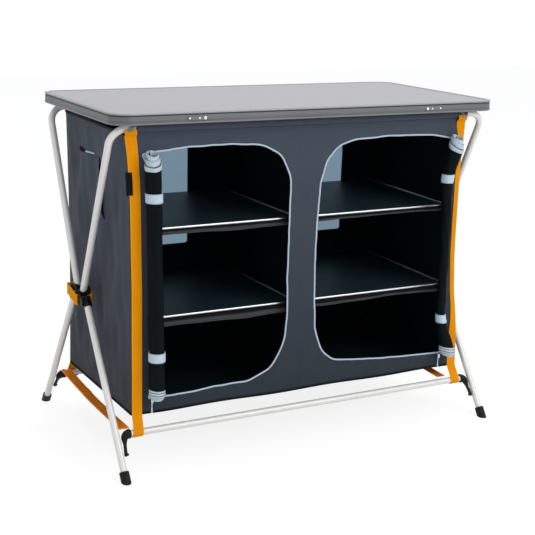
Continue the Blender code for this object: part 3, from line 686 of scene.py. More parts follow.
def bell(value: Array) -> Array:
    """Half a sine wave: 0 at 0 and at 1, and 1 midway."""
    return np.sin(math.pi * np.clip(value, 0, 1))


def ripple(u: Array, v: Array, seed: int, length: float) -> Array:
    """Slow uneven waves: the mean of seven sine waves with seeded directions, phases and lengths near one length.

    Args:
        u: first coordinates.
        v: second coordinates.
        seed: picks the waves.
        length: about one wavelength, in metres.

    Returns:
        Heights, mostly between -1 and 1.
    """
    rng = np.random.default_rng(seed)
    turns, phases, rates = rng.uniform(0, TAU, 7), rng.uniform(0, TAU, 7), rng.uniform(0.6, 1.7, 7) / length
    run = np.multiply.outer(u, np.cos(turns)) + np.multiply.outer(v, np.sin(turns))
    return np.sin(TAU * run * rates + phases).mean(-1) * 1.6


def rounded(corners: list, radii: list, closed: bool = False, steps: int = 12) -> Array:
    """A line through the corners, each replaced by an arc of its radius that touches both runs.

    Args:
        corners: points of the same length, 2 or 3.
        radii: one radius for each corner, 0 for a sharp one.
        closed: whether the line returns to its start.
        steps: points along each arc.

    Returns:
        The line's points, as rows.
    """
    points = [np.array(c, float) for c in corners]
    line = []
    for i, corner in enumerate(points):
        if (not closed and i in (0, len(points) - 1)) or not radii[i]:
            line.append(corner[None])
            continue
        back, ahead = unit(points[i - 1] - corner), unit(points[(i + 1) % len(points)] - corner)
        half = math.acos(float(np.clip(back @ ahead, -1, 1))) / 2
        centre = corner + unit(back + ahead) * radii[i] / math.sin(half)
        start, stop = (corner + way * radii[i] / math.tan(half) - centre for way in (back, ahead))
        angle = math.pi - 2 * half
        t = np.linspace(0, 1, steps + 1)[:, None]
        line.append(centre + (np.sin((1 - t) * angle) * start + np.sin(t * angle) * stop) / math.sin(angle))
    return np.concatenate(line)


def lengths(path: Array, closed: bool = False) -> Array:
    """Distances along a path at its points, with its whole length last if it is closed."""
    ends = np.concatenate([path, path[:1]]) if closed else path
    return np.concatenate([[0], np.cumsum(np.linalg.norm(np.diff(ends, axis=0), axis=1))])


def evenly(path: Array, count: int, closed: bool = False) -> Array:
    """The same path, with its points at equal distances along it.

    Args:
        path: the points.
        count: how many points to give it.
        closed: whether the path returns to its start.

    Returns:
        The new points.
    """
    run = lengths(path, closed)
    ends = np.concatenate([path, path[:1]]) if closed else path
    at = np.linspace(0, run[-1], count, endpoint=not closed)
    return np.stack([np.interp(at, run, column) for column in ends.T], 1)


def sweep(path: Array, normal: tuple, profile: Array, scale: Array | float = 1.0, closed: bool = False) -> Array:
    """A profile carried along a path: point = path + across × normal + out × (way × normal).

    Args:
        path: (n, 3) points in one plane.
        normal: the plane's normal.
        profile: (m, 2) distances across the plane and outwards.
        scale: the profile's size at each point of the path.
        closed: whether the path returns to its start.

    Returns:
        An (n, m, 3) grid.
    """
    path, normal = np.asarray(path, float), unit(np.array(normal, float))
    if closed:
        ways = unit(unit(np.roll(path, -1, 0) - path) + unit(path - np.roll(path, 1, 0)))
    else:
        runs = unit(np.diff(path, axis=0))
        ways = unit(np.concatenate([runs[:1], runs[:-1] + runs[1:], runs[-1:]]))
    out = unit(np.cross(ways, normal))
    size = np.broadcast_to(np.asarray(scale, float), (len(path),))[:, None, None]
    return path[:, None] + size * (profile[None, :, :1] * normal + profile[None, :, 1:] * out[:, None])


def circle(radius: float = 1.0, sides: int = 28) -> Array:
    """Points round a circle: radius times cosine and sine of equal turns."""
    turns = np.arange(sides) * TAU / sides
    return radius * xyz(np.cos(turns), np.sin(turns))


def strip(width: float, thick: float, steps: int = 8) -> Array:
    """The cross-section of a flat strap: a rectangle whose narrow ends are half rounds.

    Args:
        width: its whole width.
        thick: its thickness.
        steps: points along each flat side.

    Returns:
        (m, 2) points round it.
    """
    r = thick / 2
    turns = np.linspace(-math.pi / 2, math.pi / 2, 5)
    right = xyz(width / 2 - r + r * np.cos(turns), r * np.sin(turns))
    top = xyz(np.linspace(width / 2 - r, -width / 2 + r, steps + 2)[1:-1], r)
    return np.concatenate([right, top, -right, -top])


def eased(z: Array, heights: tuple, values: tuple, width: float = 0.03) -> Array:
    """Values between given heights, by straight lines whose corners are averaged away over a width."""
    return np.mean([np.interp(z + d, heights, values) for d in np.linspace(-width, width, 9)], axis=0)


def reach(loop: Array, centre: tuple, angles: Array) -> Array:
    """How far a loop lies from a centre that sees all of it, by lines between its close points.

    Args:
        loop: the loop's points.
        centre: the centre.
        angles: the angles to look along.

    Returns:
        The distance at each angle.
    """
    fine = evenly(np.asarray(loop, float), 6000, closed=True) - np.array(centre)
    turn, far = np.arctan2(fine[:, 1], fine[:, 0]), np.linalg.norm(fine, axis=1)
    order = np.argsort(turn)
    return np.interp(angles, turn[order], far[order], period=TAU)


def bearings(loop: Array, centre: tuple) -> Array:
    """The angles at which a loop's points lie from a centre."""
    return np.arctan2(*(loop - centre).T[::-1])


@dataclass(frozen=True)
class Lean:
    """How the straps pull the cloth: how far its front corners stray outwards at each height, in metres."""

    heights: tuple = (0.0886, 0.124, 0.20, 0.25, 0.33, 0.42, 0.60, 0.66, 0.715, 0.757, 0.7716)
    left: tuple = (0.004, -0.003, -0.003, -0.003, -0.003, -0.003, 0, 0.002, 0.0065, 0.012, 0.016)
    right: tuple = (0.001, 0.003, 0, -0.004, -0.015, -0.0205, -0.0205, -0.019, -0.015, -0.013, -0.015)
    back: float = 0.004
    low: float = BOTTOM
    tall: float = 0.641

    def front(self, side: Side, z: Array) -> Array:
        """The stray of a front corner at a height."""
        return np.interp(z, self.heights, self.left if side < 0 else self.right)

    def pull(self, points: Array) -> Array:
        """Cloth points as the straps pull them: the front corners stray by a few millimetres, the back corners draw
        in by a half wave, and the stray fades towards the middle of the width.

        Args:
            points: points with x, y and z last.

        Returns:
            The moved points.
        """
        x, y, z = np.moveaxis(points, -1, 0)
        front = np.where(x < 0, self.front(Side.LEFT, z), self.front(Side.RIGHT, z))
        share = smooth(y, -0.21, 0.21)
        stray = front * (1 - share) - self.back * bell((z - self.low) / self.tall) * share
        return xyz(x + np.sign(x) * stray * smooth(np.abs(x), 0.36, HALF), y, z)


LEAN = Lean()


class Skin:
    """Points, faces and UVs gathered from grids and caps into one mesh."""

    def __init__(self, name: str) -> None:
        """Starts an empty piece.

        Args:
            name: the piece's name.
        """
        self.name = name
        self.points: list = []
        self.corners: list = []
        self.uvs: list = []
        self.sizes: list = []
        self.count = 0

    def grid(self, points: Array, uv: Array | None = None, round_rows: bool = False,
             round_cols: bool = False) -> "Skin":
        """Adds a grid of quads. UVs are distances along the grid, in metres, unless given.

        Args:
            points: (rows, columns, 3).
            uv: (rows, columns, 2) in metres.
            round_rows: joins the last row to the first.
            round_cols: joins the last column to the first.

        Returns:
            This skin.
        """
        def looped(values: Array) -> Array:
            """Repeats the first row and column where the grid is joined."""
            values = np.concatenate([values, values[:1]]) if round_rows else values
            return np.concatenate([values, values[:, :1]], 1) if round_cols else values

        rows, cols = points.shape[:2]
        wide = looped(points)
        if uv is None:
            steps = [np.cumsum(np.linalg.norm(np.diff(wide, axis=k), axis=2), k) for k in (1, 0)]
            uv = xyz(np.pad(steps[0], ((0, 0), (1, 0))), np.pad(steps[1], ((1, 0), (0, 0))))
        else:
            uv = looped(uv)
        i, j = (k.ravel() for k in np.meshgrid(*(np.arange(n - 1) for n in wide.shape[:2]), indexing="ij"))
        ring = [(i, j), (i, j + 1), (i + 1, j + 1), (i + 1, j)]
        self.corners.append(xyz(*((a % rows) * cols + b % cols + self.count for a, b in ring)).ravel())
        self.uvs.append(np.stack([uv[a, b] for a, b in ring], 1).reshape(-1, 2))
        self.sizes.append(np.full(len(i), 4))
        self.points.append(points.reshape(-1, 3))
        self.count += rows * cols
        return self

    def cap(self, ring: Array) -> "Skin":
        """Closes a ring of points with one face; its UVs are two of the ring's own coordinates.

        Args:
            ring: the points.

        Returns:
            This skin.
        """
        spread = np.argsort(np.ptp(ring, axis=0))[1:]
        self.points.append(ring)
        self.corners.append(np.arange(len(ring)) + self.count)
        self.uvs.append(ring[:, np.sort(spread)])
        self.sizes.append(np.array([len(ring)]))
        self.count += len(ring)
        return self

    def closed(self, points: Array, uv: Array | None = None) -> "Skin":
        """Adds a tube-like grid whose first and last rows are capped."""
        return self.grid(points, uv, round_cols=True).cap(points[0]).cap(points[-1])

    def pulled(self) -> "Skin":
        """Moves every point as the straps pull the cloth."""
        self.points = [LEAN.pull(points) for points in self.points]
        return self

    def mesh(self, sharp: float) -> bpy.types.Mesh:
        """Makes the mesh, with its seams welded and its faces turned outwards.

        Args:
            sharp: edges sharper than this many degrees stay crisp.

        Returns:
            The mesh.
        """
        mesh = bpy.data.meshes.new(self.name)
        points, corners, sizes, uvs = (np.concatenate(k) for k in (self.points, self.corners, self.sizes, self.uvs))
        mesh.vertices.add(len(points))
        mesh.vertices.foreach_set("co", points.astype(np.float32).ravel())
        mesh.loops.add(len(corners))
        mesh.loops.foreach_set("vertex_index", corners.astype(np.int32))
        mesh.polygons.add(len(sizes))
        mesh.polygons.foreach_set("loop_start", np.concatenate([[0], np.cumsum(sizes)[:-1]]).astype(np.int32))
        mesh.uv_layers.new(name="UVMap").data.foreach_set("uv", uvs.astype(np.float32).ravel())
        mesh.update(calc_edges=True)
        mesh.validate()
        shape = bmesh.new()
        shape.from_mesh(mesh)
        bmesh.ops.remove_doubles(shape, verts=shape.verts, dist=2e-6)
        bmesh.ops.recalc_face_normals(shape, faces=shape.faces)
        shape.to_mesh(mesh)
        shape.free()
        mesh.shade_smooth()
        mesh.set_sharp_from_angle(angle=math.radians(sharp))
        return mesh

    def piece(self, finish: Finish, *nodes: str, body: Body = Body.CABINET, thick: float = 0.0,
              sharp: float = 40.0) -> Thing:
        """Makes the object, dresses it and puts it on its body.

        Args:
            finish: its finish.
            nodes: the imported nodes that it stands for.
            body: the body that it rides on.
            thick: the wall to give an open sheet.
            sharp: edges sharper than this many degrees stay crisp.

        Returns:
            The finished object.
        """
        mesh = self.mesh(sharp)
        mesh.materials.append(finish.material())
        thing = bpy.data.objects.new(self.name, mesh)
        bpy.context.scene.collection.objects.link(thing)
        if thick:
            wall = thing.modifiers.new("wall", "SOLIDIFY")
            wall.thickness, wall.offset = thick, 0.0
        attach(thing, body.value)
        if nodes:
            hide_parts(*nodes)
        log.info("%s: %d faces", self.name, len(mesh.polygons))
        return thing


def crumple(*things: Thing, keep: float = 0.16) -> None:
    """Gives each piece of the cabinet's cloth, and of what lies in it, a mesh of its own.

    Args:
        *things: the pieces.
        keep: not used.
    """
    for thing in things:
        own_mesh(thing)


# ---- the frame


@dataclass(frozen=True)
class Leg:
    """The straight line of the tubes above or below the crossing, seen along X."""

    rise: int  # 1 for up from the crossing and -1 for down
    lean: float  # from upright
    offset: float  # how far beside the pivot it passes
    start: float  # how far along it the hub's socket ends

    def level(self, along: float) -> float:
        """How far above or below the pivot it is, that far along."""
        return self.rise * (along * math.cos(self.lean) - self.offset * math.sin(self.lean))

    def out(self, along: float) -> float:
        """How far from the middle plane it is, that far along."""
        return self.offset * math.cos(self.lean) + along * math.sin(self.lean)

    def along(self, level: float) -> float:
        """How far along it a level lies."""
        return (abs(level) + self.offset * math.sin(self.lean)) / math.cos(self.lean)


@dataclass
class CrossedFrames:
    """Two tube frames that cross at the hubs, with their feet, elbows and pins."""

    radius: float = 0.008
    plane: float = 0.490
    height: float = 0.3645
    upper: Leg = Leg(1, math.radians(25.2), 0.0130, 0.026)
    lower: Leg = Leg(-1, math.radians(34.9), 0.0268, 0.042)
    rail_height: float = 0.7752
    bend: float = 0.040
    low_rail: float = 0.0886
    slack: float = 0.0003  # between parts that slip
    socket: float = 0.0105
    socket_depth: float = 0.020
    mouths: tuple = (-0.008, 0.004)  # how far past its start each hub socket reaches up and down its tube
    plate: float = 0.0040
    eye: float = 0.015
    foot_radius: float = 0.0113
    foot_length: float = 0.025
    # share of the way from the foot's mouth to the ground, and how far inside its radius the wall is there
    foot_wall: tuple = ((0, 0.0030), (0, 0.0008), (0.03, 0.0002), (0.07, 0), (0.16, 0), (0.2, 0.0006), (0.5, 0.0006),
                        (0.8, 0.0006), (0.9, 0), (0.96, 0), (1.0, 0.0009))
    ribs: int = 18
    elbow_inner: float = 0.456
    elbow_bend: float = 0.0135
    tail: float = 0.050
    tail_radius: float = 0.0045
    rivet: tuple = ((0, 0.0032), (0.0052, 0.0032), (0.0062, 0.0026), (0.0066, 0.0012))  # height and radius
    boss: tuple = ((-0.002, 0.0108), (0.0004, 0.0108), (0.0007, 0.0100))  # height over the plate, and radius
    # half of the pivot pin: distance past the plate, and radius
    pin: tuple = ((0.0021, 0.0025), (0.0017, 0.0048), (0.0009, 0.0064), (0, 0.0068), (0, 0.004))

    def on(self, leg: Leg, side: Side, facing: Facing, along: float) -> Array:
        """A point of a leg's line, that far from the pivot."""
        return np.array([side * self.plane, facing * leg.out(along), self.height + leg.level(along)])

    def foot_at(self, height: float) -> float:
        """How far down the lower leg's line it comes to a height."""
        return self.lower.along(height - self.height)

    def low_rail_y(self) -> float:
        """How far the lower rails lie from the middle."""
        return self.lower.out(self.foot_at(self.low_rail))

    def make_tube(self, name: str, path: Array, normal: tuple, body: Body) -> None:
        """A tube along a path in one plane."""
        Skin(f"{name}_tube").closed(sweep(path, normal, circle(self.radius))).piece(TUBE, name, body=body)

    def make_top_rail(self, name: str, facing: Facing, body: Body) -> None:
        """A top rail and its two upper legs, bent from one tube.

        Args:
            name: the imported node's name.
            facing: its face.
            body: the frame that it rides on.
        """
        top, hidden = self.upper.along(self.rail_height - self.height), self.upper.start - 0.014
        corners = [self.on(self.upper, side, facing, along)
                   for side, along in ((-1, hidden), (-1, top), (1, top), (1, hidden))]
        path = rounded(corners, [0, self.bend, self.bend, 0], steps=20)
        self.make_tube(name, path, np.cross([1, 0, 0], unit(corners[1] - corners[0])), body)

    def make_foot(self, name: str, side: Side, facing: Facing, body: Body) -> None:
        """A ribbed cap: each line of its wall runs from the mouth down the leg to the ground.

        Args:
            name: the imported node's name.
            side: its side.
            facing: its face.
            body: the frame that it rides on.
        """
        ground, start = (self.on(self.lower, side, facing, along) for along in (self.foot_at(0), 0))
        way = unit(ground - start)
        mouth = ground - way * self.foot_length
        turns = (np.arange(72) * TAU / 72)[:, None]
        side_way = np.array([1.0, 0, 0])
        round_way = np.cos(turns) * side_way + np.sin(turns) * np.cross(way, side_way)
        shares, inset = np.array(self.foot_wall).T[..., None]
        raised = 0.0005 * (np.cos(turns.T * self.ribs) > 0.1) * ((shares > 0.18) & (shares < 0.85))
        along = -shares * (mouth + round_way * self.foot_radius)[:, 2] / way[2]
        points = mouth + round_way * (self.foot_radius - inset + raised)[..., None] + way * along[..., None]
        points[-1, :, 2] = 0.0
        Skin(f"{name}_cap").closed(points).piece(PLASTIC, name, body=body)

    def make_elbow(self, name: str, side: Side, facing: Facing, body: Body) -> None:
        """A bent connector: a collar on the rail, an arm that tapers down the leg, and a rivet at its tip.

        Args:
            name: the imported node's name.
            side: its side.
            facing: its face.
            body: the frame that it rides on.
        """
        y, face = facing * self.low_rail_y(), self.plane - self.radius - self.slack
        tip = self.on(self.lower, side, facing, self.foot_at(self.low_rail) + self.tail)
        corners = np.array([(self.elbow_inner, y, self.low_rail), (face - self.socket, y, self.low_rail),
                            (face - self.tail_radius, *tip[1:])]) * [side, 1, 1]
        path = evenly(rounded(corners, [0, self.elbow_bend, 0], steps=14), 44)
        share = np.linspace(0, 1, 44)
        width = self.socket + (self.tail_radius * 0.86 - self.socket) * smooth(share, 0.10, 0.62)
        width += 0.0007 * (smooth(share, 0, 0.012) - smooth(share, 0.085, 0.1))
        width[[0, -2, -1]] -= (0.0012, 0.0008, 0.0024)
        normal = np.cross(*np.diff(corners, axis=0))
        skin = Skin(f"{name}_arm").closed(sweep(path, normal, circle(sides=24), width))
        high, wide = np.array(self.rivet).T
        skin.closed(sweep(path[-4] - side * xyz(high, 0, 0), (0, 0, 1), circle(sides=16), wide))
        skin.piece(PLASTIC, name, body=body)

    def make_hub(self, name: str, side: Side, outboard: int, upper_facing: Facing, body: Body) -> None:
        """Half of the scissor hub: a bevelled plate beside the tubes, two collared sockets and a raised eye.

        Args:
            name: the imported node's name.
            side: its side.
            outboard: 1 where its plate is on the outside and -1 where it is on the inside.
            upper_facing: which way its upper tube leans.
            body: the frame that it rides on.
        """
        outward, low, high = side * outboard, self.socket + self.slack, self.socket + self.slack + self.plate
        pivot = np.array([side * self.plane, 0, self.height])
        tubes = [(self.upper, upper_facing), (self.lower, -upper_facing)]
        roots = [self.on(leg, side, facing, leg.start - 0.010) for leg, facing in tubes]
        ways = circle(sides=96)
        centres = np.array([pivot, *roots])[:, 1:]
        sizes = np.array([self.eye, self.socket, self.socket])
        best = (ways @ centres.T + sizes).argmax(1)
        outline = centres[best] + ways * sizes[best][:, None]
        inward = unit(centres.mean(0) - outline)
        bevels = [(low, 0.0008), (low + 0.0006, 0), (high - 0.0008, 0), (high - 0.0002, 0.0004), (high, 0.0010),
                  (high, 0.0030), (high - 0.0007, 0.0034)]
        rings = [xyz(side * self.plane + outward * out, *(outline + inward * inset).T) for out, inset in bevels]
        skin = Skin(f"{name}_half").closed(np.array(rings))
        collar = self.socket + np.array([-0.001, 0, 0, 0.0008, 0.0008, -0.0004])
        for (leg, facing), deep in zip(tubes, self.mouths):
            root, foot, mouth = (self.on(leg, side, facing, leg.start + d) for d in (-0.020, -0.012, deep))
            path = root + (mouth - root) * np.array([0, 0.04, 0.6, 0.66, 0.95, 1.0])[:, None]
            skin.closed(sweep(path, (1, 0, 0), circle(), collar))
            post = foot + outward * xyz((0, low + 0.001), 0, 0)
            skin.closed(sweep(post, (0, 0, 1), circle(self.socket)))
        over, wide = np.array(self.boss).T
        skin.closed(sweep(pivot + outward * xyz(high + over, 0, 0), (0, 0, 1), circle(sides=36), wide))
        skin.piece(PLASTIC, name, body=body)

    def make_pin(self, name: str, side: Side) -> None:
        """The headed pin through both halves of a hub, with domed ends.

        Args:
            name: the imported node's name.
            side: its side.
        """
        face = self.socket + self.plate + 2 * self.slack
        half = np.array([(face + out, wide) for out, wide in self.pin] + [(self.socket, 0.004), (self.socket, 0.0068)])
        out, wide = np.concatenate([half * [-1, 1], half[::-1]]).T
        path = xyz(side * self.plane + out, 0, self.height)
        points = path[:, None] + np.insert(circle(sides=32), 0, 0, axis=1) * wide[:, None, None]
        Skin(f"{name}_domed").closed(points).piece(STEEL, name)

    def build(self) -> None:
        """Makes both frames: each has the lower legs on one side, the upper ones on the other, and both rails."""
        rail_end = self.elbow_inner + self.socket_depth / 2
        for facing, hub, outboard, body in zip(Facing, ("outer", "inner"), (1, -1), (Body.FRAME_A, Body.FRAME_B)):
            behind = Facing(-facing)
            self.make_top_rail(f"{behind.word}_top_rail", behind, body)
            path = xyz((-rail_end, rail_end), facing * self.low_rail_y(), self.low_rail)
            self.make_tube(f"{facing.word}_lower_rail", path, (0, 0, 1), body)
            for side in Side:
                ends = (self.lower.start - 0.008, self.foot_at(0) - self.foot_length / 2)
                path = np.array([self.on(self.lower, side, facing, along) for along in ends])
                self.make_tube(f"{facing.word}_leg_{side.word}", path, (1, 0, 0), body)
                self.make_foot(f"foot_{facing.word}_{side.word}", side, facing, body)
                self.make_elbow(f"elbow_{facing.word}_{side.word}", side, facing, body)
                self.make_hub(f"hub_{hub}_{side.word}", side, outboard, behind, body)
        for side in Side:
            self.make_pin(f"pivot_pin_{side.word}", side)


# ---- the worktop


@dataclass
class Worktop:
    """The two-half top: its boards, edge mouldings, catches and hinge."""

    length: float = 1.000
    depth: float = 0.500
    height: float = 0.810
    thick: float = 0.025
    corner: float = 0.045
    rim: float = 0.014
    bevel: float = 0.0032
    sink: float = 0.0007
    ease: float = 0.0006
    border: float = 0.046
    panel: float = 0.011
    gap: float = 0.0003
    # the moulding's profile from its foot to its top: bevels outwards, and the share of the thickness upwards
    profile: tuple = ((-0.9, 0), (-0.45, 0.01), (-0.12, 0.03), (0, 0.07), (0, 0.15), (-0.1, 0.18), (-0.3, 0.20),
                      (-0.3, 0.735), (-0.36, 0.75), (-0.9, 0.76), (-0.9, 0.83), (-0.4, 0.845), (-0.08, 0.865),
                      (0, 0.9), (-0.02, 0.945), (-0.15, 0.98), (-0.5, 0.998), (-1.3, 1.0))
    fittings: tuple = (("catch_hook", HOOK), ("catch_keeper", KEEPER), ("hinge_leaf_left", STEEL),
                       ("hinge_leaf_right", STEEL), ("hinge_pin", STEEL))

    def outline(self, side: Side, inset: float) -> Array:
        """Half of the top's outline, from the seam round both outer corners and back to the seam.

        Args:
            side: its side.
            inset: how far inside the edge it runs.

        Returns:
            The points in plan.
        """
        end, deep, radius = self.length / 2 - inset, self.depth / 2 - inset, self.corner - inset
        corners = [(side * self.gap / 2, -deep), (side * end, -deep), (side * end, deep), (side * self.gap / 2, deep)]
        return rounded(corners, [0, radius, radius, 0], steps=24)

    def make_rim(self, name: str, side: Side, body: Body) -> None:
        """The edge moulding: each point of the outline carries the moulding's profile outwards and up.

        Args:
            name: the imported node's name.
            side: its side.
            body: the half that it rides on.
        """
        outer, inner = self.outline(side, 0), self.outline(side, self.rim)
        under, (out, up) = self.height - self.thick, np.array(self.profile).T
        ways = (outer - inner) / self.rim
        ring = at_height(outer[:, None] + ways[:, None] * (out * self.bevel)[:, None], under + up * self.thick)
        floor, brim = (at_height(inner, z)[:, None] for z in (under, self.height))
        Skin(f"{name}_moulding").closed(np.concatenate([floor, ring, brim], 1)).piece(RIM, name, body=body, sharp=30)

    def make_board(self, name: str, side: Side, body: Body) -> None:
        """Half of the board, as loops seen from its middle: top, eased edge, border and the recess underneath.

        Args:
            name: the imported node's name.
            side: its side.
            body: the half that it rides on.
        """
        line = self.outline(side, self.rim + self.gap)
        inner, outer = side * self.border, side * (self.length / 2 - self.rim - self.border)
        deep = self.depth / 2 - self.rim - self.border
        hollow = np.array([(inner, -deep), (outer, -deep), (outer, deep), (inner, deep)])
        centre = ((inner + outer) / 2, 0)
        base = np.linspace(-math.pi, math.pi, 120, endpoint=False)
        angles = np.unique(np.concatenate([bearings(line, centre), bearings(hollow, centre), base]))
        far, near = reach(line, centre, angles), reach(hollow, centre, angles)
        low, high = self.height - self.thick, self.height - self.sink
        steps = [(far - self.ease, high), (far, high - self.ease), (far, low + self.ease), (far - self.ease, low),
                 (near, low), (near, high - self.panel)]
        ways = xyz(np.cos(angles), np.sin(angles))
        rings = np.array([at_height(np.array(centre) + ways * r[:, None], z) for r, z in steps])
        Skin(f"{name}_panel").closed(rings).piece(LAMINATE, name, body=body)

    def build(self) -> None:
        """Makes both halves, and gives the hinge and the catches their finish."""
        for side, body in zip(Side, (Body.TOP_LEFT, Body.TOP_RIGHT)):
            self.make_board(f"top_board_{side.word}", side, body)
            self.make_rim(f"top_rim_{side.word}", side, body)
        for node, finish in self.fittings:
            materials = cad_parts[node].data.materials
            materials.clear()
            materials.append(finish.material())


# ---- the cabinet


@dataclass
class Doorways:
    """The two door openings: their outlines, and how the front cloth lies round them."""

    face: float = FACE
    bottom: float = BOTTOM
    lined: float = 0.0012  # from the middle of the cloth to the inside of its lining
    top: float = 0.7655
    centre: tuple = (0.224, 0.44)
    # the corners of each outline: distance from the middle, height and radius
    left: tuple = ((0.4075, 0.1585, 0.004), (0.3960, 0.192, 0.012), (0.3960, 0.672, 0.02), (0.4165, 0.7187, 0.004),
                   (0.311, 0.7287, 0.25), (0.223, 0.7303, 0.4),
                   (0.130, 0.7262, 0.10), (0.0775, 0.700, 0.05), (0.0515, 0.645, 0.05), (0.0525, 0.55, 0.3),
                   (0.0533, 0.40, 0.5), (0.0515, 0.32, 0.3), (0.0570, 0.250, 0.10), (0.0900, 0.190, 0.05),
                   (0.150, 0.1652, 0.06), (0.245, 0.1640, 0.3), (0.304, 0.1590, 0.3))
    right: tuple = ((0.402, 0.1625, 0.004), (0.406, 0.20, 0.012), (0.411, 0.30, 0.05), (0.411, 0.60, 0.05),
                    (0.404, 0.672, 0.02), (0.4085, 0.7165, 0.004),
                    (0.338, 0.7275, 0.2), (0.2125, 0.7305, 0.4),
                    (0.121, 0.7262, 0.12), (0.075, 0.7135, 0.05), (0.0440, 0.679, 0.05), (0.0290, 0.630, 0.08),
                    (0.0215, 0.52, 0.3), (0.0200, 0.43, 0.5), (0.0225, 0.33, 0.3), (0.0275, 0.262, 0.12),
                    (0.0480, 0.2120, 0.06), (0.0800, 0.1860, 0.05), (0.125, 0.1810, 0.10), (0.214, 0.1712, 0.2),
                    (0.301, 0.1667, 0.4))

    def loop(self, side: Side) -> Array:
        """A door opening's outline: the corners that its zip pulls it to, with arcs between, and slow waves of
        under a millimetre.

        Args:
            side: its side.

        Returns:
            Its points as (x, z).
        """
        corners = self.left if side < 0 else self.right
        line = rounded([(side * x, z) for x, z, _ in corners], [r for _, _, r in corners], True, 16)
        line = evenly(line, 720, closed=True)
        centre = self.centre * np.array([side, 1])
        pull = 0.0006 * ripple(line[:, 0], line[:, 1], 11 if side < 0 else 12, 0.07)
        return line + pull[:, None] * unit(line - centre)

    def lie(self, x: Array, z: Array) -> Array:
        """How far the front cloth stands proud: slow waves and drawn folds, still at its sewn edges.

        Args:
            x: distances along the front.
            z: heights.

        Returns:
            The distance at each point.
        """
        out = np.abs(x)
        still = smooth(out, 0.421, 0.396) * smooth(out, 0.0, 0.03)
        still = still * smooth(z, self.bottom, self.bottom + 0.026) * smooth(z, self.top, self.top - 0.0205)
        waves = 0.0012 * ripple(x, z, 3, 0.16) + 0.0007 * ripple(x, z, 4, 0.05)
        return still * (waves + 0.0012 * np.sin((out - 0.05) * 24) * smooth(z, 0.72, 0.76))

    def front(self, x: Array, z: Array, proud: float = 0.0) -> Array:
        """Points on the front cloth, raised from it by a distance."""
        return xyz(x, -self.face - self.lie(x, z) - proud, z)


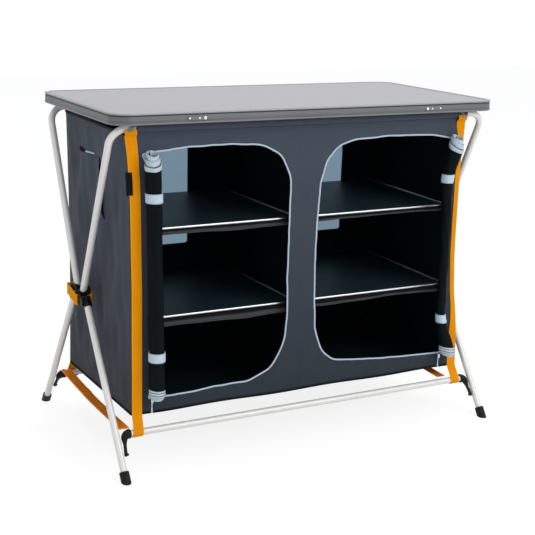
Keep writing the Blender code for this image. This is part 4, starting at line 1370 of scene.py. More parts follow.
@dataclass
class Cabinet:
    """The cloth cabinet: panels, bindings, windows, pocket, floor and divider."""

    doors: Doorways
    half: float = HALF
    bottom: float = BOTTOM
    top: float = 0.7654
    lap: float = 0.0006  # how far inside the half width the side cloths lie
    window: tuple = ((0.125, 0.409), (0.340, 0.409), (0.340, 0.700), (0.125, 0.700))
    window_corner: float = 0.007
    window_seam: float = 0.004
    tape: float = 0.0022
    floor: tuple = (0.1252, 0.1286)
    above_floor: float = 0.1296
    shelf_seams: tuple = (0.336, 0.541)  # where the shelves hold the divider still
    pocket_bottom: float = 0.440
    pocket_tall: float = 0.247
    pocket_back: float = 0.120
    pocket_mouth: float = 0.6885

    def panel_ring(self, side: Side, loop: Array, rows: int = 30) -> tuple:
        """Half of a panel round an opening: rays from the opening's middle, from its edge to the panel's.

        Args:
            side: its side.
            loop: the opening's outline as (x, z).
            rows: points along each ray.

        Returns:
            The x and z of the grid, as two arrays.
        """
        box = rounded([(0, self.bottom), (side * self.half, self.bottom), (side * self.half, self.top), (0, self.top)],
                      [0, 0.014, 0, 0], closed=True)
        centre = (loop.min(0) + loop.max(0)) / 2
        base = np.linspace(-math.pi, math.pi, 420, endpoint=False)
        turns = np.exp(1j * np.concatenate([base if side > 0 else math.pi - base, bearings(box, centre)]))
        angles = np.unique(np.round(np.angle(turns), 9))
        far, near = reach(box, centre, angles), reach(loop, centre, angles)
        radius = near + (far - near) * np.linspace(0, 1, rows)[:, None]
        return centre[0] + radius * np.cos(angles), centre[1] + radius * np.sin(angles)

    def make_front(self) -> Thing:
        """The front cloth round its two doorways.

        Returns:
            The piece.
        """
        skin = Skin("front_cloth")
        for side in Side:
            x, z = self.panel_ring(side, self.doors.loop(side))
            skin.grid(self.doors.front(x, z), xyz(x, z), round_cols=True)
        cloth = skin.pulled().piece(CHARCOAL, "front_panel", thick=CLOTH)
        return cloth

    def back_y(self, x: Array, z: Array) -> Array:
        """Where the back cloth lies: it leans in by slow waves, and is still at its sewn edges.

        Args:
            x: distances along the back.
            z: heights.

        Returns:
            The y of each point.
        """
        still = smooth(np.abs(x), 0.421, 0.38) * smooth(z, self.bottom, 0.16) * smooth(z, self.doors.top, 0.74)
        return self.doors.face - still * (0.0012 * ripple(x, z, 21, 0.17) + 0.0006 * ripple(x, z, 22, 0.06))

    def make_window(self, side: Side, loop: Array) -> list:
        """A net window, which bulges out a little, and the tapes that bind it on both faces of the back cloth.

        Args:
            side: its side.
            loop: the window's outline as (x, z).

        Returns:
            The pieces.
        """
        (inner, low), _, (outer, high), _ = self.window
        seam = self.window_seam
        x, z = np.meshgrid(np.linspace(side * (inner - seam), side * (outer + seam), 40),
                           np.linspace(low - seam, high + seam, 50))
        slack = 0.0016 * bell(np.linspace(0, 1, 40)) * bell(np.linspace(0, 1, 50))[:, None]
        net = Skin(f"window_net_{side.word}").grid(xyz(x, self.back_y(x, z) + slack, z), xyz(x, z))
        made = [net.piece(NET, thick=0.0004)]
        path = xyz(loop[:, 0], self.back_y(*loop.T), loop[:, 1])
        for face, off in (("inside", -0.0017), ("back", 0.0009)):
            tape = sweep(path + [0, off, 0], (0, 1, 0), strip(0.0008, 0.009) - [0, side * 0.0042], closed=True)
            bound = Skin(f"window_binding_{side.word}_{face}").grid(tape, round_rows=True, round_cols=True)
            made.append(bound.piece(BINDING))
        return made

    def make_back(self) -> list:
        """The back cloth and its lining, and the two windows in them.

        Returns:
            The pieces.
        """
        made, skin, lining = [], Skin("back_cloth"), Skin("back_lining")
        for side in Side:
            box = [(side * x, z) for x, z in self.window]
            loop = evenly(rounded(box, [self.window_corner] * 4, closed=True), 400, closed=True)
            x, z = self.panel_ring(side, loop)
            for sheet, inside in ((skin, 0.0), (lining, 0.0010)):
                sheet.grid(xyz(x, self.back_y(x, z) - inside, z), xyz(x, z), round_cols=True)
            made += self.make_window(side, loop)
        cloth = skin.pulled().piece(CHARCOAL, "back_panel", thick=CLOTH)
        made.append(lining.pulled().piece(BLACK, thick=LINING))
        return [cloth, *made]

    def side_lie(self, side: Side, y: Array, z: Array) -> Array:
        """How far a side cloth bulges outwards: a soft belly, drawn folds and slow waves, still at its edges.

        Args:
            side: its side.
            y: distances along the side.
            z: heights.

        Returns:
            The distance at each point.
        """
        deep = self.doors.face
        still = (smooth(np.abs(y), deep, deep - 0.05) * smooth(z, self.bottom, self.bottom + 0.05)
                 * smooth(z, self.top, self.top - 0.04))
        folds = 0.0018 * np.sin((y + 0.35 * (z - 0.45)) * 46 + 1.3) * smooth(z, 0.25, 0.6)
        waves = 0.0030 * ripple(y, z, 31 + side, 0.19) + 0.0018 * ripple(y, z * 0.5, 33 + side, 0.06)
        return still * (0.002 + waves + folds)

    def make_side(self, side: Side) -> Thing:
        """A side cloth between the front and back panels.

        Args:
            side: its side.

        Returns:
            The piece.
        """
        deep = self.doors.face
        y, z = np.meshgrid(np.linspace(-deep, deep, 110), np.linspace(self.bottom, self.top, 150))
        x = side * (self.half - self.lap + self.side_lie(side, y, z))
        skin = Skin(f"side_cloth_{side.word}").grid(xyz(x, y, z), xyz(y, z))
        cloth = skin.pulled().piece(CHARCOAL, f"side_panel_{side.word}", thick=CLOTH)
        return cloth

    def edge_tape(self, name: str, path: Array, normal: tuple, width: float) -> Thing:
        """A folded binding tape along a cloth's edge: a flat strip wrapped over it."""
        return Skin(name).closed(sweep(path, normal, strip(self.tape, width))).pulled().piece(BINDING)

    def make_bindings(self) -> list:
        """Tapes over the corners, along the bottom edges and round the top of the sides.

        Returns:
            The pieces.
        """
        made, deep = [], self.doors.face
        for facing in Facing:
            x = np.linspace(-self.half + 0.012, self.half - 0.012, 90)
            low = self.bottom + self.tape + 0.0012 * np.sin(x * 21) * smooth(np.abs(x), 0.43, 0.36)
            made.append(self.edge_tape(f"bottom_binding_{facing.word}", xyz(x, facing * deep, low), (0, 1, 0), 0.006))
            for side in Side:
                up = np.linspace(self.bottom + 0.008, self.top - 0.002, 60)
                path = xyz(side * (self.half - 0.0010), facing * deep, up)
                made.append(self.edge_tape(f"corner_binding_{facing.word}_{side.word}", path, (1, 0, 0), 0.0028))
        for side in Side:
            for edge, z in (("bottom", self.bottom + 0.002), ("top", self.top - 0.002)):
                path = xyz(side * (self.half - self.lap), np.linspace(-deep + 0.002, deep - 0.002, 60), z)
                made.append(self.edge_tape(f"side_binding_{edge}_{side.word}", path, (1, 0, 0), 0.006))
        return made

    def make_inside(self) -> list:
        """The padded floor, the divider and the side linings, in black cloth.

        Returns:
            The pieces.
        """
        deep, wall = self.doors.face - self.doors.lined, self.half - 0.0018
        x, y = np.meshgrid(np.linspace(-wall, wall, 120), np.linspace(-deep, deep, 60))
        dip = 0.0008 * ripple(x, y, 41, 0.2) * smooth(np.abs(y), deep, deep - 0.03)
        faces = [xyz(x, y, self.floor[1] + dip), xyz(x, y, self.floor[0])]
        edges = np.array([np.concatenate([g[0], g[1:, -1], g[-1, -2::-1], g[-2:0:-1, 0]]) for g in faces])
        floor = Skin("floor_pad").grid(faces[0], xyz(x, y)).grid(faces[1], xyz(x, y)).grid(edges, round_cols=True)
        made = [floor.pulled().piece(BLACK, "cabinet_floor")]
        y, z = np.meshgrid(np.linspace(-deep, deep, 90), np.linspace(self.above_floor, self.top, 110))
        still = smooth(np.abs(y), deep, deep - 0.04) * smooth(z, 0.13, 0.17)
        for seam in self.shelf_seams:
            still = still * (1 - np.exp(-((z - seam) / 0.012) ** 2))
        x = still * (0.0016 * ripple(y, z, 45, 0.16) + 0.0006 * ripple(y, z, 46, 0.06))
        divider = Skin("divider_cloth").grid(xyz(x, y, z), xyz(y, z))
        made.append(divider.piece(BLACK, "centre_divider", thick=CLOTH))
        for side in Side:
            y, z = np.meshgrid(np.linspace(-deep + 0.001, deep - 0.001, 60),
                               np.linspace(self.above_floor, self.top - 0.001, 80))
            x = side * (self.half - 0.0023 + np.minimum(self.side_lie(side, y, z), 0.004))
            inner = Skin(f"side_lining_{side.word}").grid(xyz(x, y, z), xyz(y, z))
            made.append(inner.pulled().piece(BLACK, thick=LINING))
            f"side_cloth_{side.word}"
        return made

    def make_pocket(self) -> list:
        """The side pocket: a flat cloth bag that gapes along its slanted front edge, with a pale tape at its top.

        Returns:
            The pieces.
        """
        s, t = np.meshgrid(np.linspace(0, 1, 60), np.linspace(0, 1, 90))
        z = self.pocket_bottom + self.pocket_tall * t
        front = eased(z, (self.pocket_bottom, 0.5424, 0.680, 0.687), (-0.0617, -0.0617, -0.032, -0.029), 0.004)
        y = self.pocket_back + (front - self.pocket_back) * s
        gape = 0.0105 * bell((z - 0.548) / 0.134) * smooth(s, 0.70, 1.0)
        slack = 0.0012 * bell(s) * bell(t) * smooth(z, 0.53, 0.6)
        lift = -0.0008 + 0.0016 * smooth(z, 0.53, 0.57)
        x = -(self.half - self.lap + lift + self.side_lie(-1, y, z) + gape + slack)
        pocket = Skin("pocket_cloth").grid(xyz(x, y, z), xyz(y, z)).pulled()
        made = [pocket.piece(CHARCOAL, "side_pocket", thick=CLOTH)]
        edge = xyz(x, y, z)[:, -1]
        binding = sweep(edge[edge[:, 2] > 0.546], (1, 0, 0), strip(0.0026, 0.005))
        made.append(Skin("pocket_binding").closed(binding).pulled().piece(BINDING))
        for name, ends, finish, wide in (("pocket_tape", (0.056, 0.002), PALE_BAND, 0.0040),
                                         ("pocket_mouth", (0.114, 0.064), BINDING, 0.0075)):
            run = np.linspace(*ends, 20)
            out = self.half + 0.0016 + self.side_lie(-1, run, np.full(20, self.pocket_mouth))
            path = xyz(-out, run, self.pocket_mouth + 0.0015 * np.sin(run * 60))
            taper = 0.25 + 0.75 * bell(np.linspace(0, 1, 20)) ** 0.5
            made.append(Skin(name).closed(sweep(path, (1, 0, 0), strip(0.0016, wide), taper)).pulled().piece(finish))
        return made

    def build(self) -> list:
        """Makes every cloth of the cabinet.

        Returns:
            The pieces.
        """
        made = [self.make_front(), *self.make_back()]
        made += [self.make_side(side) for side in Side]
        return made + self.make_bindings() + self.make_inside() + self.make_pocket()


@dataclass
class Shelves:
    """Four shelves: a covered board in a cloth sling, whose front hem hangs under a bent wire."""

    doors: Doorways
    tops: tuple = (0.343, 0.548)
    inset: float = 0.018
    wall: float = HALF
    front: float = 0.186
    wire: float = 0.0028
    bend: float = 0.022
    board_corner: float = 0.018
    board_drop: float = 0.0059
    sling_drop: float = 0.0065
    sling_long: float = 0.412  # a sling's flat length, with its hem
    drops: tuple = (0.0200, 0.0130)
    # the board's outline from its middle and back: share of the way to its edge, and rise over its underside
    slab: tuple = ((0.02, 0.0030), (0.25, 0.0030), (0.5, 0.0030), (0.75, 0.0030), (0.93, 0.0030), (0.993, 0.0030),
                   (1.0, 0.0022), (1.0, 0.0006), (0.995, 0.0), (0.02, 0.0))

    def make_wire(self, name: str, side: Side, top: float) -> Thing:
        """The round wire along both sides and the front of a shelf.

        Args:
            name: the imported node's name.
            side: its side.
            top: the shelf's height.

        Returns:
            The piece.
        """
        back, z = self.doors.face - self.doors.lined, top - self.wire
        inner, outer = side * self.inset, side * (self.wall - self.inset)
        corners = [(inner, back, z), (inner, -self.front, z), (outer, -self.front, z), (outer, back, z)]
        path = rounded(corners, [0, self.bend, self.bend, 0], steps=10)
        rod = Skin(f"{name}_rod").closed(sweep(path, (0, 0, 1), circle(self.wire, 16))).pulled()
        return rod.piece(STEEL, name)

    def make_board(self, level: Level, side: Side, top: float) -> Thing:
        """The covered board: a slab with eased edges and a slight dip between its wires.

        Args:
            level: which of the two shelves.
            side: its side.
            top: the shelf's height.

        Returns:
            The piece.
        """
        edge = self.wire + 0.0003
        near, far = side * (self.inset + edge), side * (self.wall - self.inset - edge)
        back, front = self.doors.face - self.doors.lined, edge - self.front
        box = rounded([(near, front), (far, front), (far, back), (near, back)],
                      [self.board_corner, self.board_corner, 0, 0], closed=True)
        centre = np.array([(near + far) / 2, (back - self.front) / 2])
        base = np.linspace(-math.pi, math.pi, 160, endpoint=False)
        angles = np.unique(np.concatenate([bearings(box, centre), base]))
        spokes = reach(box, centre, angles)[:, None] * xyz(np.cos(angles), np.sin(angles))
        share, rise = np.array(self.slab).T[..., None]
        plan = centre + share[..., None] * spokes
        rings = at_height(plan, top - self.board_drop + rise - 0.0009 * (1 - share ** 2))
        return Skin(f"shelf_board_{level.value}_{side.word}").closed(rings, plan).pulled().piece(SHELF)

    def make_sling(self, level: Level, side: Side, top: float, fall: float) -> Thing:
        """The sling: cloth under the board that turns down behind the front wire into an uneven hem.

        Args:
            level: which of the two shelves.
            side: its side.
            top: the shelf's height.
            fall: how far the hem hangs.

        Returns:
            The piece.
        """
        low, high = side * 0.0010, side * (self.wall - 0.0026)
        x, s = np.linspace(low, high, 110), np.linspace(0, 1, 20)[:, None]
        fall = fall * (1.0 if side < 0 else 0.8)
        waves = 0.16 * np.sin(math.pi * (np.abs(x) / self.wall)) * np.cos(np.abs(x) * 9 + side)
        drop = fall * (1 + waves + 0.12 * ripple(x, np.full(110, top), 51, 0.11))
        down, back = np.clip(s / 0.55, 0, 1), np.clip((s - 0.55) / 0.45, 0, 1)
        z = top - self.sling_drop - drop * (1 - down)
        y = -self.front + 0.0005 + 0.0012 * np.sin(math.pi * down) * ripple(x, np.zeros(110), 52, 0.08)
        y = y + back * (self.doors.face - 0.0018 + self.front)
        points = xyz(x, y, z)
        up = lengths(points[:, 0])[:, None] * (1.0 if side < 0 else 1.7)
        skin = Skin(f"shelf_sling_{level.value}_{side.word}").grid(points, xyz(points[..., 0], up))
        cloth = skin.pulled().piece(HEMS[level], f"shelf_{level.value}_{side.word}", thick=0.0009)
        f"shelf_wire_{level.value}_{side.word}"
        return cloth

    def build(self) -> list:
        """Makes the four shelves.

        Returns:
            The pieces.
        """
        made = []
        for level, top, fall in zip(Level, self.tops, self.drops):
            for side in Side:
                made += [self.make_wire(f"shelf_wire_{level.value}_{side.word}", side, top),
                         self.make_board(level, side, top), self.make_sling(level, side, top, fall)]
        return made


@dataclass(frozen=True)
class Roll:
    """One rolled door: where its middle runs and how wide it packs at five heights, and where it is tied."""

    middle: tuple
    size: tuple
    ties: tuple
    end: float  # the angle at which its outer end lies


@dataclass
class RolledDoors:
    """The doors: rolled up, tied and zipped, with their zips, sliders and pulls."""

    doors: Doorways
    heights: tuple = (0.165, 0.262, 0.485, 0.622, 0.705)
    left: Roll = Roll((0.3925, 0.3928, 0.3969, 0.3995, 0.4044), (0.0190, 0.0185, 0.0174, 0.0185, 0.0195),
                      (0.6245, 0.263), math.pi * 0.62)
    right: Roll = Roll((0.4073, 0.3858, 0.3852, 0.3791, 0.4000), (0.0235, 0.0118, 0.0130, 0.0147, 0.0205),
                       (0.620, 0.260), math.pi * 0.38)
    cloth: tuple = (0.366, 0.555)  # a door's flat size
    core: float = 0.0055
    turns: float = 4.9
    shown: float = 2.1  # turns over which the zip end telescopes
    # share of a rolled zip's half height from its middle, and how far it stands proud there, in millimetres
    coil: tuple = ((-1, 0), (-0.85, 0.9), (-0.4, 1.1), (0, 1.3), (0.4, 1.1), (0.85, 0.9), (1, 0), (0.85, -0.5),
                   (0.4, -0.6), (0, -0.6), (-0.4, -0.6), (-0.85, -0.5))
    bottom: float = 0.172
    top: float = 0.6943
    front: float = 0.2112  # where the cloth lies that the rolls touch
    tie_height: float = 0.021
    # share of a tie's height from its middle, and how far its outer face stands proud there
    tie_wall: tuple = ((-0.5, -0.0004), (-0.5, 0.0004), (-0.47, 0.0009), (-0.25, 0.0011), (0, 0.0012), (0.25, 0.0011),
                       (0.47, 0.0009), (0.5, 0.0004), (0.5, -0.0004))
    pinch: float = 0.0010
    out: float = 0.397  # the sliders, from the middle
    slider_height: float = 0.1540
    slider_face: float = 0.2087  # the sliders' backs, from the middle of the depth
    pull_face: float = 0.2091
    slider: tuple = ((0, 0.0052), (0.0006, 0.0058), (0.0030, 0.0058), (0.0040, 0.0050), (0.0044, 0.0034))
    teeth: tuple = ((-0.0020, 0.0002), (-0.0015, 0.0007), (-0.0009, 0.0013), (0, 0.0016), (0.0009, 0.0013),
                    (0.0015, 0.0007), (0.0020, 0.0002), (0.0020, -0.0004), (-0.0020, -0.0004))
    pull_top: float = 0.1468
    pull_long: float = 0.0243
    tongue: tuple = ((0, 0.0012), (0.06, 0.0020), (0.2, 0.0015), (0.35, 0.0012), (0.8, 0.0022), (0.95, 0.0022),
                     (1, 0.0012))  # share of its length, and half width

    def roll(self, side: Side) -> Roll:
        """The rolled door of a side."""
        return self.left if side < 0 else self.right

    def size(self, side: Side, z: Array) -> Array:
        """The roll's radius: as wide as its cloth packs at each height, and pinched at each tie.

        Args:
            side: its side.
            z: heights.

        Returns:
            The radius at each height.
        """
        pinched = sum(np.exp(-(((z - tie) / 0.016) ** 2)) for tie in self.roll(side).ties)
        return eased(z, self.heights, self.roll(side).size, 0.02) - self.pinch * pinched

    def middle(self, side: Side, z: Array) -> tuple:
        """The roll's middle line: it strays along X with the height, and lies against the front cloth."""
        return side * eased(z, self.heights, self.roll(side).middle), -(self.front + self.size(side, z))

    def spiral(self, side: Side, turn: Array, z: Array, proud: float | Array = 0.0) -> Array:
        """Points of the spiral: radius grows evenly with the turn, from the core to the outside.

        Args:
            side: its side.
            turn: turns from the core, 0 to all of them.
            z: heights, in the same shape.
            proud: how far the points stand off the sheet.

        Returns:
            Points in the shape of turn, with x, y and z last.
        """
        share, size = turn / self.turns, self.size(side, z)
        angle = side * (turn - self.turns) * TAU + self.roll(side).end
        folds = 0.0006 * np.sin(angle * 5 + z * 60) * share ** 4
        folds = folds + 0.0009 * ripple(angle * 0.02, z, 61 + side, 0.05) * share ** 3
        core = np.minimum(self.core, size * 0.35)
        r = core + (size - 0.0006 - core) * share + folds + proud
        x, y = r * np.cos(angle), r * np.sin(angle)
        tilt = 0.2 * smooth(np.abs(z - 0.43), 0.17, 0.25) * (side > 0) * x
        nod = 0.45 * smooth(z, 0.670, 0.705) * y
        cx, cy = self.middle(side, z)
        return xyz(cx + x, cy + y, z - tilt + nod)

    def make_roll(self, side: Side) -> list:
        """The rolled cloth and, along its spiral ends, the zip tape that telescopes out of it.

        Args:
            side: its side.

        Returns:
            The pieces.
        """
        turn, s = np.meshgrid(np.linspace(0, self.turns, 250), np.linspace(0, 1, 110))
        inward = self.turns - turn
        sunk, drawn = smooth(inward, 2.95, 3.15), np.minimum(inward, self.shown)
        high = self.top - 0.002 + 0.0133 * drawn - 0.022 * sunk
        low = self.bottom + 0.003 - 0.0055 * drawn + 0.012 * sunk
        z = low + (high - low) * s
        flat = xyz(turn / self.turns * self.cloth[0], z)
        skin = Skin(f"door_cloth_{side.word}").grid(self.spiral(side, turn, z), flat)
        made = [skin.piece(ROLLED, f"door_roll_{side.word}", thick=0.0009)]
        f"zip_tape_{side.word}"
        around, proud = np.array(self.coil).T * [[1], [0.001]]
        line = np.linspace(self.turns - 2.98, self.turns, 190)
        for end, half, first, rise, finish in (("top", 0.0062, self.top, 0.0277, PALE_ZIP),
                                               ("bottom", 0.0085, self.bottom, -0.0110, ROLL_ZIP)):
            inset = half if end == "top" else -half
            edge = first + rise * np.minimum((self.turns - line) / self.shown, 1) - inset
            lines, across = np.meshgrid(line, around * half, indexing="ij")
            tape = self.spiral(side, lines, edge[:, None] + across, proud)
            skin = Skin(f"door_zip_{end}_{side.word}").closed(tape, xyz(across, lengths(tape[:, 3])[:, None]))
            made.append(skin.piece(finish))
        return made

    def make_tie(self, side: Side, level: Level, tie: float) -> Thing:
        """A band round the roll, whose end runs back to the front cloth behind it.

        Args:
            side: its side.
            level: which of the two ties.
            tie: its height.

        Returns:
            The piece.
        """
        across, lift = np.array(self.tie_wall).T
        turns, rows = np.meshgrid(np.arange(64) * TAU / 64, across, indexing="ij")
        z = tie + rows * self.tie_height
        cx, cy = self.middle(side, z)
        size = self.size(side, z) + 0.0007
        outer, inner = (xyz(cx + r * np.cos(turns), cy + r * np.sin(turns), z)
                        for r in (size + lift + 0.0003 * np.sin(turns * 3), size - 0.001))
        flat = xyz(np.concatenate([rows, rows[:, ::-1]], 1) * self.tie_height,
                   np.concatenate([turns, turns], 1) * 0.0178)
        band = np.concatenate([outer, inner[:, ::-1]], 1)
        skin = Skin(f"door_tie_{level.value}_{side.word}").grid(band, flat, True, True)
        at = float(self.middle(side, np.array([tie]))[0][0])
        tail = sweep(xyz(at, (-0.2125, -0.2105, -0.2086), tie), (0, 0, 1), strip(self.tie_height, 0.0011))
        return skin.closed(tail, xyz(tail[..., 2] - tie, tail[..., 1])).piece(PALE_BAND)

    def make_zip(self, side: Side) -> list:
        """The zip round a doorway: a flat tape with a rounded row of teeth, and its slider.

        Args:
            side: its side.

        Returns:
            The pieces.
        """
        loop = evenly(self.doors.loop(side), 560, closed=True)
        path = self.doors.front(loop[:, 0], loop[:, 1], 0.0012)
        shape, out = np.array(self.teeth), np.array([0.0, -1.0, 0.0])
        flat = unit(np.cross(unit(np.roll(path, -1, 0) - np.roll(path, 1, 0)), out))
        points = path[:, None] + flat[:, None] * shape[:, :1] + out * shape[:, 1:]
        uv = xyz(shape[:, 0], lengths(path)[:, None])
        tape = Skin(f"doorway_zip_{side.word}").grid(points, uv, True, True).pulled()
        turns = np.arange(36) * TAU / 36
        oval = xyz(np.cos(turns) * 0.62, np.sin(turns) * (1.4 + 0.12 * np.cos(turns * 2)))
        rings = np.array([xyz(side * self.out + oval[:, 0] * r, -self.slider_face - d,
                              self.slider_height + oval[:, 1] * r) for d, r in self.slider])
        slider = Skin(f"zip_slider_{side.word}").closed(rings)
        return [tape.piece(PALE_ZIP, f"zip_tape_{side.word}"), slider.piece(STEEL)]

    def make_pull(self, side: Side, body: Body) -> Thing:
        """The pull: a flat tongue with rounded edges that widens downwards.

        Args:
            side: its side.
            body: the body that it rides on.

        Returns:
            The piece.
        """
        t = np.linspace(0, 1, 40)[:, None]
        half = np.interp(t, *np.array(self.tongue).T)
        wide, deep = np.array([(-1, 0), (-0.8, 0.8), (0, 1), (0.8, 0.8), (1, 0), (0.8, -0.8), (0, -1), (-0.8, -0.8)]).T
        y, z = 0.0006 * deep - self.pull_face, self.pull_top - self.pull_long * t
        points = xyz(side * self.out + half * wide, y, z)
        return Skin(f"zip_pull_tongue_{side.word}").closed(points).piece(PALE_BAND, f"zip_pull_{side.word}", body=body)

    def build(self) -> list:
        """Makes both doors.

        Returns:
            The pieces.
        """
        made = []
        for side, body in zip(Side, (Body.PULL_LEFT, Body.PULL_RIGHT)):
            made += self.make_roll(side) + self.make_zip(side)
            ties = zip((Level.UPPER, Level.LOWER), self.roll(side).ties)
            made += [self.make_tie(side, level, tie) for level, tie in ties]
            made.append(self.make_pull(side, body))
        return made


@dataclass
class Straps:
    """The orange webbing: corner straps, base straps, hub loops, top tabs, and the sleeves on the rails."""

    frames: CrossedFrames
    width: float = 0.025
    thick: float = 0.0015
    outer: float = HALF
    face: float = 0.20928
    head: tuple = ((0.2190, 0.7735), (0.2203, 0.7655), (0.20928, 0.757), (0.20928, 0.7445))  # (y, z) over the rail
    foot: float = BOTTOM
    wrap: float = math.radians(150)
    tab: tuple = ((0.2216, 0.7690), (0.2212, 0.7760), (0.2160, 0.7835))  # (y, z)
    tab_out: float = 0.4390
    base_y: tuple = (-0.219, 0, 0.2185)
    base_left: tuple = (0.468, 0.4645, 0.457)  # how far out the base strap runs at each of those
    base_right: tuple = (0.403, 0.428, 0.450)
    stitched: tuple = (0.738, 0.168)
    stitch: float = 0.0030
    label: tuple = ((0.0075, 0.0016), (0.0035, 0.0017), (-0.0035, 0.0017), (-0.0068, 0.0011), (-0.0072, 0.0004),
                    (-0.0068, -0.0004), (-0.0025, -0.0010))  # its fold in plan, from the strap's outer edge
    label_radii: tuple = (0, 0.002, 0.002, 0.0003, 0.0003, 0.001, 0)
    sleeve_y: float = FACE
    loop_plan: tuple = ((0.5098, 0.0470), (0.5098, -0.0320), (0.5035, -0.0200), (0.4940, -0.0130), (0.4810, -0.0245),
                        (0.4685, -0.0245), (0.4685, 0.0470))
    loop_radii: tuple = (0.0100, 0.0030, 0.0050, 0.0050, 0.0050, 0.0050, 0.0100)
    loop_height: float = 0.3625

    def band(self, skin: Skin, path: Array, middle: float | Array, width: float, thick: float) -> None:
        """Adds a strap that runs along Y and Z.

        Args:
            skin: the skin to add it to.
            path: its (y, z) points.
            middle: the x of its middle, for all of them or at each.
            width: its width.
            thick: its thickness.
        """
        line = np.insert(path, 0, 0, axis=1)
        points = sweep(line, (1, 0, 0), strip(width, thick, 12))
        uv = xyz(points[..., 0], lengths(line)[:, None])
        points[..., 0] += np.broadcast_to(middle, len(path))[:, None]
        skin.closed(points, uv)

    def line(self) -> Array:
        """A corner strap, as seen from the right: down the cloth, straight to the lower rail and round it.

        Returns:
            Its (y, z) points.
        """
        rail_y, rail_z = self.frames.low_rail_y(), self.frames.low_rail
        radius = self.frames.radius + self.frames.slack + self.thick / 2
        across, up = self.face - rail_y, self.foot - rail_z
        meets = math.atan2(up, across) - math.acos(radius / math.hypot(across, up))
        turn = np.linspace(meets, -self.wrap, 26)
        wrap = xyz(rail_y + radius * np.cos(turn), rail_z + radius * np.sin(turn))
        heights = np.linspace(0.744, self.foot, 60)
        still = smooth(heights, self.foot, 0.2) * smooth(heights, self.head[2][1], 0.7)
        down = xyz(self.face + np.abs(0.0006 * np.sin((heights - self.foot) * 17) * still), heights)
        return np.concatenate([rounded(self.head, [0, 0.007, 0.007, 0], steps=8), down, wrap])

    def turned(self, points: Array) -> Array:
        """The right front strap, which slips round its corner at mid height: what passes the cloth's edge is
        folded back along the side by as much as it passes it.

        Args:
            points: points with x, y and z last.

        Returns:
            The moved points.
        """
        x, y, z = np.moveaxis(points, -1, 0)
        stray = LEAN.front(Side.RIGHT, z)
        edge = self.outer + stray
        x = x + stray + 0.0120 * smooth(z, 0.16, 0.30) * smooth(z, 0.752, 0.70)
        over = np.maximum(x - edge, 0)
        fold = smooth(over, 0, 0.002)
        x = np.minimum(x, edge) + fold * (0.0008 - y - self.face)
        return xyz(x, y * (1 - fold) - self.face * fold + over, z)

    def make_base(self, side: Side) -> Thing:
        """A base strap, from the rear lower rail to the front elbow, with the lap where its end is sewn down.

        Args:
            side: its side.

        Returns:
            The piece.
        """
        over = self.frames.low_rail + self.frames.socket + self.frames.slack + self.thick / 2
        y = np.linspace(-self.frames.low_rail_y() + 0.006, self.base_y[-1], 80)
        sag = -0.004 * bell((y - y[0]) / (y[-1] - y[0]))
        lap = xyz(np.linspace(0.040, 0.075, 12), over - 0.0025)
        base = Skin(f"base_strap_{side.word}")
        for path, thick in ((xyz(y, over + sag), self.thick), (lap, 0.0014)):
            out = np.interp(path[:, 0], self.base_y, self.base_left if side < 0 else self.base_right)
            self.band(base, path, side * out, self.width, thick)
        # the base strap wears the shaded copy of the orange webbing: painted shade
        return base.piece(PAINTED_SHADE_ORANGE)

    def make_corner(self, facing: Facing, side: Side) -> list:
        """A corner strap, its grey top tab and, at the back, the base strap that runs to the front elbow.

        Args:
            facing: its face.
            side: its side.

        Returns:
            The pieces.
        """
        skin = Skin(f"corner_strap_{facing.word}_{side.word}")
        self.band(skin, self.line() * [facing, 1], side * (self.outer - self.width / 2), self.width, self.thick)
        move = self.turned if (facing, side) == (Facing.FRONT, Side.RIGHT) else LEAN.pull
        skin.points = [move(points) for points in skin.points]
        made = [skin.piece(ORANGE, f"{facing.word}_strap_{side.word}")]
        tab = Skin(f"top_tab_{facing.word}_{side.word}")
        rise = rounded(self.tab, [0, 0.006, 0], steps=8)
        self.band(tab, rise * [facing, 1], side * (self.tab_out - (rise[:, 1] - self.tab[0][1]) * 0.80), 0.008, 0.0011)
        made.append(tab.pulled().piece(GREY_TAB))
        if facing > 0:
            made.append(self.make_base(side))
        return made

    def make_stitches(self, facing: Facing, side: Side) -> Thing:
        """Boxed stitching at the strap's head and foot: short threads laid round a rectangle and across it.

        Args:
            facing: its face.
            side: its side.

        Returns:
            The piece.
        """
        middle, half = side * (self.outer - self.width / 2), self.width / 2 - 0.0035
        box = np.array([(-1, -1), (1, -1), (1, 1), (-1, 1), (-1, -1), (1, 1)]) * [half, 0.008]
        dashes = []
        for z in self.stitched:
            for a, b in zip(box, box[1:]):
                count = max(3, int(np.linalg.norm(b - a) / self.stitch))
                ends = (np.arange(count)[:, None] + [0.15, 0.80]) / count
                dashes.append(a + (b - a) * ends[..., None] + [0, z])
        first, last = np.moveaxis(np.concatenate(dashes), 1, 0)
        ways = unit(last - first)
        across = xyz(-ways[:, 1], ways[:, 0])
        path = first[:, None] + (last - first)[:, None] * np.array([0, 0.25, 0.75, 1.0])[:, None]
        lift = np.array([-0.0002, 0.0002, 0.0002, -0.0002])[:, None]
        ring = circle(0.00032, 5)
        deep = facing * (self.face + self.thick / 2 + lift + ring[:, 1])
        skin = Skin(f"strap_stitches_{facing.word}_{side.word}")
        for line, way in zip(path, across):
            flat = line[:, None] + way * ring[:, :1]
            skin.closed(xyz(middle + flat[..., 0], deep, flat[..., 1]))
        return skin.pulled().piece(THREAD)

    def make_label(self) -> Thing:
        """A small plain label, folded over the outer edge of the left front strap.

        Returns:
            The piece.
        """
        fold = rounded([(-self.outer + a, -self.face - b) for a, b in self.label], self.label_radii, steps=3)
        points = at_height(fold[None], np.linspace(0.6295, 0.680, 14)[:, None])
        return Skin("side_label").grid(points).pulled().piece(BINDING, thick=0.0007)

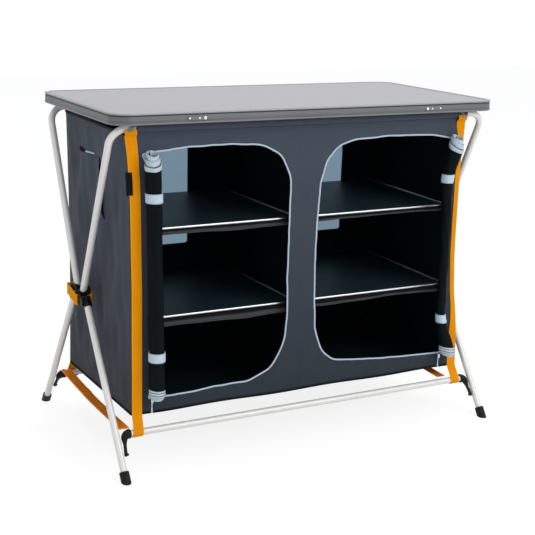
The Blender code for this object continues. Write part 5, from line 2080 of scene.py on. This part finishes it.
    def make_sleeve(self, name: str, facing: Facing) -> Thing:
        """The sleeve round a top rail: a soft tube with small gathers.

        Args:
            name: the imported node's name.
            facing: its face.

        Returns:
            The piece.
        """
        x, turn = np.meshgrid(np.linspace(-0.436, 0.436, 260), np.arange(28) * TAU / 28, indexing="ij")
        gathers = 0.0005 * np.abs(ripple(x, turn * 0.01, 71 + facing, 0.03)) + 0.0004 * np.abs(np.sin(x * 90 + turn))
        radius = 0.0090 + gathers
        points = xyz(x, facing * self.sleeve_y + radius * np.cos(turn), self.frames.rail_height + radius * np.sin(turn))
        return Skin(f"{name}_cloth").grid(points, round_cols=True).piece(CHARCOAL, name, thick=0.0005)

    def make_hub_loop(self, name: str, side: Side) -> None:
        """The webbing loop round a hub: an oval band whose path dips and rises as it passes the tube.

        Args:
            name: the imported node's name.
            side: its side.
        """
        box = [(side * x, y) for x, y in self.loop_plan]
        loop = evenly(rounded(box, self.loop_radii, closed=True), 200, closed=True)
        lean = 0.0035 * np.sin(loop[:, 1] * 60) + 0.10 * (loop[:, 1] - 0.02)
        across = np.linspace(-0.5, 0.5, 11) * self.width
        curl = 0.0007 * np.cos(np.linspace(-1, 1, 11) * math.pi / 2)
        ways = unit(np.roll(loop, -1, 0) - np.roll(loop, 1, 0))
        out = xyz(ways[:, 1], -ways[:, 0]) * side
        outer, inner = (at_height(loop[:, None] + out[:, None] * (curl + offset)[:, None],
                                  self.loop_height + across + lean[:, None])
                        for offset in (self.thick / 2, -self.thick / 2))
        uv = xyz(np.concatenate([across, across[::-1]]), lengths(loop)[:, None])
        skin = Skin(f"{name}_webbing").grid(np.concatenate([outer, inner[:, ::-1]], 1), uv, True, True)
        skin.piece(ORANGE, name, body=Body.FRAME_B)

    def build(self) -> list:
        """Makes all the webbing and both sleeves.

        Returns:
            The pieces that main hands to crumple, like the cabinet's cloth.
        """
        made = [self.make_label()]
        for facing in Facing:
            made.append(self.make_sleeve(f"rail_sleeve_{facing.word}", facing))
            for side in Side:
                made += self.make_corner(facing, side)
                made.append(self.make_stitches(facing, side))
        for side in Side:
            self.make_hub_loop(f"hub_loop_{side.word}", side)
        return made


# ---- the room


@dataclass
class Studio:
    """The floor, the world, the lamps and the camera at the photograph's angle."""

    place: tuple = (-1.388, -2.593, 1.119)
    azimuth: float = math.radians(-28.24)
    elevation: float = math.radians(14.15)
    roll: float = math.radians(1.43)
    lens: float = 80.8
    # each lamp's name, place, height of its aim, size in metres and power in watts
    lamps: tuple = (("front_key", (1.6, -3.4, 2.6), 0.45, 2.4, 62), ("left_fill", (-3.4, -1.6, 1.9), 0.4, 2.6, 9),
                    ("overhead", (0.2, 0.6, 3.4), 0.8, 2.6, 38))

    def seen(self, tree: bpy.types.NodeTree) -> Socket:
        """1 for rays that the camera, gloss or glass sends out, and 0 for light.

        Args:
            tree: the node tree to add it to.

        Returns:
            The number.
        """
        path = tree.nodes.new("ShaderNodeLightPath")
        total, *others = (path.outputs[f"Is {kind} Ray"] for kind in ("Camera", "Glossy", "Transmission"))
        for other in others:
            step = tree.nodes.new("ShaderNodeMath")
            step.operation = "MAXIMUM"
            tree.links.new(total, step.inputs[0])
            tree.links.new(other, step.inputs[1])
            total = step.outputs[0]
        return total

    def blend(self, tree: bpy.types.NodeTree, share: Socket, first: bpy.types.Node, second: bpy.types.Node,
              target: Socket) -> None:
        """Sends a mix of two shaders to a target.

        Args:
            tree: the node tree.
            share: how much of the second shows.
            first: the shader at 0.
            second: the shader at 1.
            target: the output's input.
        """
        mix = tree.nodes.new("ShaderNodeMixShader")
        for source, socket in zip((share, first.outputs[0], second.outputs[0]), mix.inputs):
            tree.links.new(source, socket)
        tree.links.new(mix.outputs[0], target)

    def make_world(self) -> None:
        """A white room to look at, and a softer one to light the object."""
        world = bpy.data.worlds.new("room")
        bpy.context.scene.world = world
        world.use_nodes = True
        tree = world.node_tree
        tree.nodes.clear()
        rooms = []
        for colour, strength in (((0.96, 0.98, 1, 1), 0.55), ((1, 1, 1, 1), 1.0)):
            rooms.append(tree.nodes.new("ShaderNodeBackground"))
            rooms[-1].inputs["Color"].default_value, rooms[-1].inputs["Strength"].default_value = colour, strength
        self.blend(tree, self.seen(tree), *rooms, tree.nodes.new("ShaderNodeOutputWorld").inputs[0])

    def make_floor(self) -> None:
        """A pale floor that shows white to the camera and still takes the object's shadow."""
        mesh = bpy.data.meshes.new("floor")
        mesh.from_pydata([(-9, -9, 0), (9, -9, 0), (9, 9, 0), (-9, 9, 0)], [], [(0, 1, 2, 3)])
        floor = bpy.data.objects.new("floor", mesh)
        bpy.context.scene.collection.objects.link(floor)
        material = bpy.data.materials.new("pale_floor")
        material.use_nodes = True
        tree = material.node_tree
        shader, glow = tree.nodes["Principled BSDF"], tree.nodes.new("ShaderNodeEmission")
        shader.inputs["Base Color"].default_value = (0.86, 0.86, 0.86, 1)
        shader.inputs["Roughness"].default_value = 0.9
        glow.inputs["Strength"].default_value = 1.17
        share = tree.nodes.new("ShaderNodeMath")
        share.operation = "MULTIPLY"
        share.inputs[1].default_value = 0.72
        tree.links.new(self.seen(tree), share.inputs[0])
        self.blend(tree, share.outputs[0], shader, glow, tree.nodes["Material Output"].inputs["Surface"])
        mesh.materials.append(material)

    def make_lamp(self, name: str, place: tuple, aim: float, size: float, power: float) -> None:
        """A soft square lamp, turned to the middle of the object.

        Args:
            name: its name.
            place: where it hangs.
            aim: the height that it looks at.
            size: its edge.
            power: its power in watts.
        """
        lamp = bpy.data.lights.new(name, "AREA")
        lamp.energy, lamp.size = power, size
        thing = bpy.data.objects.new(name, lamp)
        thing.location = place
        thing.rotation_euler = (Vector((0, 0, aim)) - Vector(place)).to_track_quat("-Z", "Y").to_euler()
        bpy.context.scene.collection.objects.link(thing)

    def make_camera(self) -> None:
        """The camera: the view solved from the photograph, with its slight roll."""
        camera = bpy.data.cameras.new("camera")
        camera.lens, camera.sensor_width = self.lens, 36.0
        thing = bpy.data.objects.new("camera", camera)
        back = np.array([math.sin(self.azimuth) * math.cos(self.elevation),
                         -math.cos(self.azimuth) * math.cos(self.elevation), math.sin(self.elevation)])
        right = unit(np.cross([0, 0, 1], back))
        up = np.cross(back, right)
        c, s = math.cos(self.roll), math.sin(self.roll)
        turned = np.stack([c * right + s * up, c * up - s * right, back], 1)
        thing.matrix_world = Matrix.Translation(self.place) @ Matrix(turned.tolist()).to_4x4()
        bpy.context.scene.collection.objects.link(thing)
        bpy.context.scene.camera = thing

    def build(self) -> None:
        """Makes the room, and keeps colours as they are written."""
        bpy.context.scene.view_settings.view_transform = "Standard"
        self.make_world()
        self.make_floor()
        for lamp in self.lamps:
            self.make_lamp(*lamp)
        self.make_camera()


def main() -> None:
    """Builds the whole cupboard and its room, in order."""
    logging.basicConfig(level=logging.INFO, format="%(name)s %(message)s")
    frames, doors = CrossedFrames(), Doorways()
    frames.build()
    Worktop().build()
    soft = Cabinet(doors).build()
    soft += Shelves(doors).build()
    soft += RolledDoors(doors).build()
    crumple(*soft)
    crumple(*Straps(frames).build(), keep=0.175)
    Studio().build()


if __name__ == "__main__":
    main()
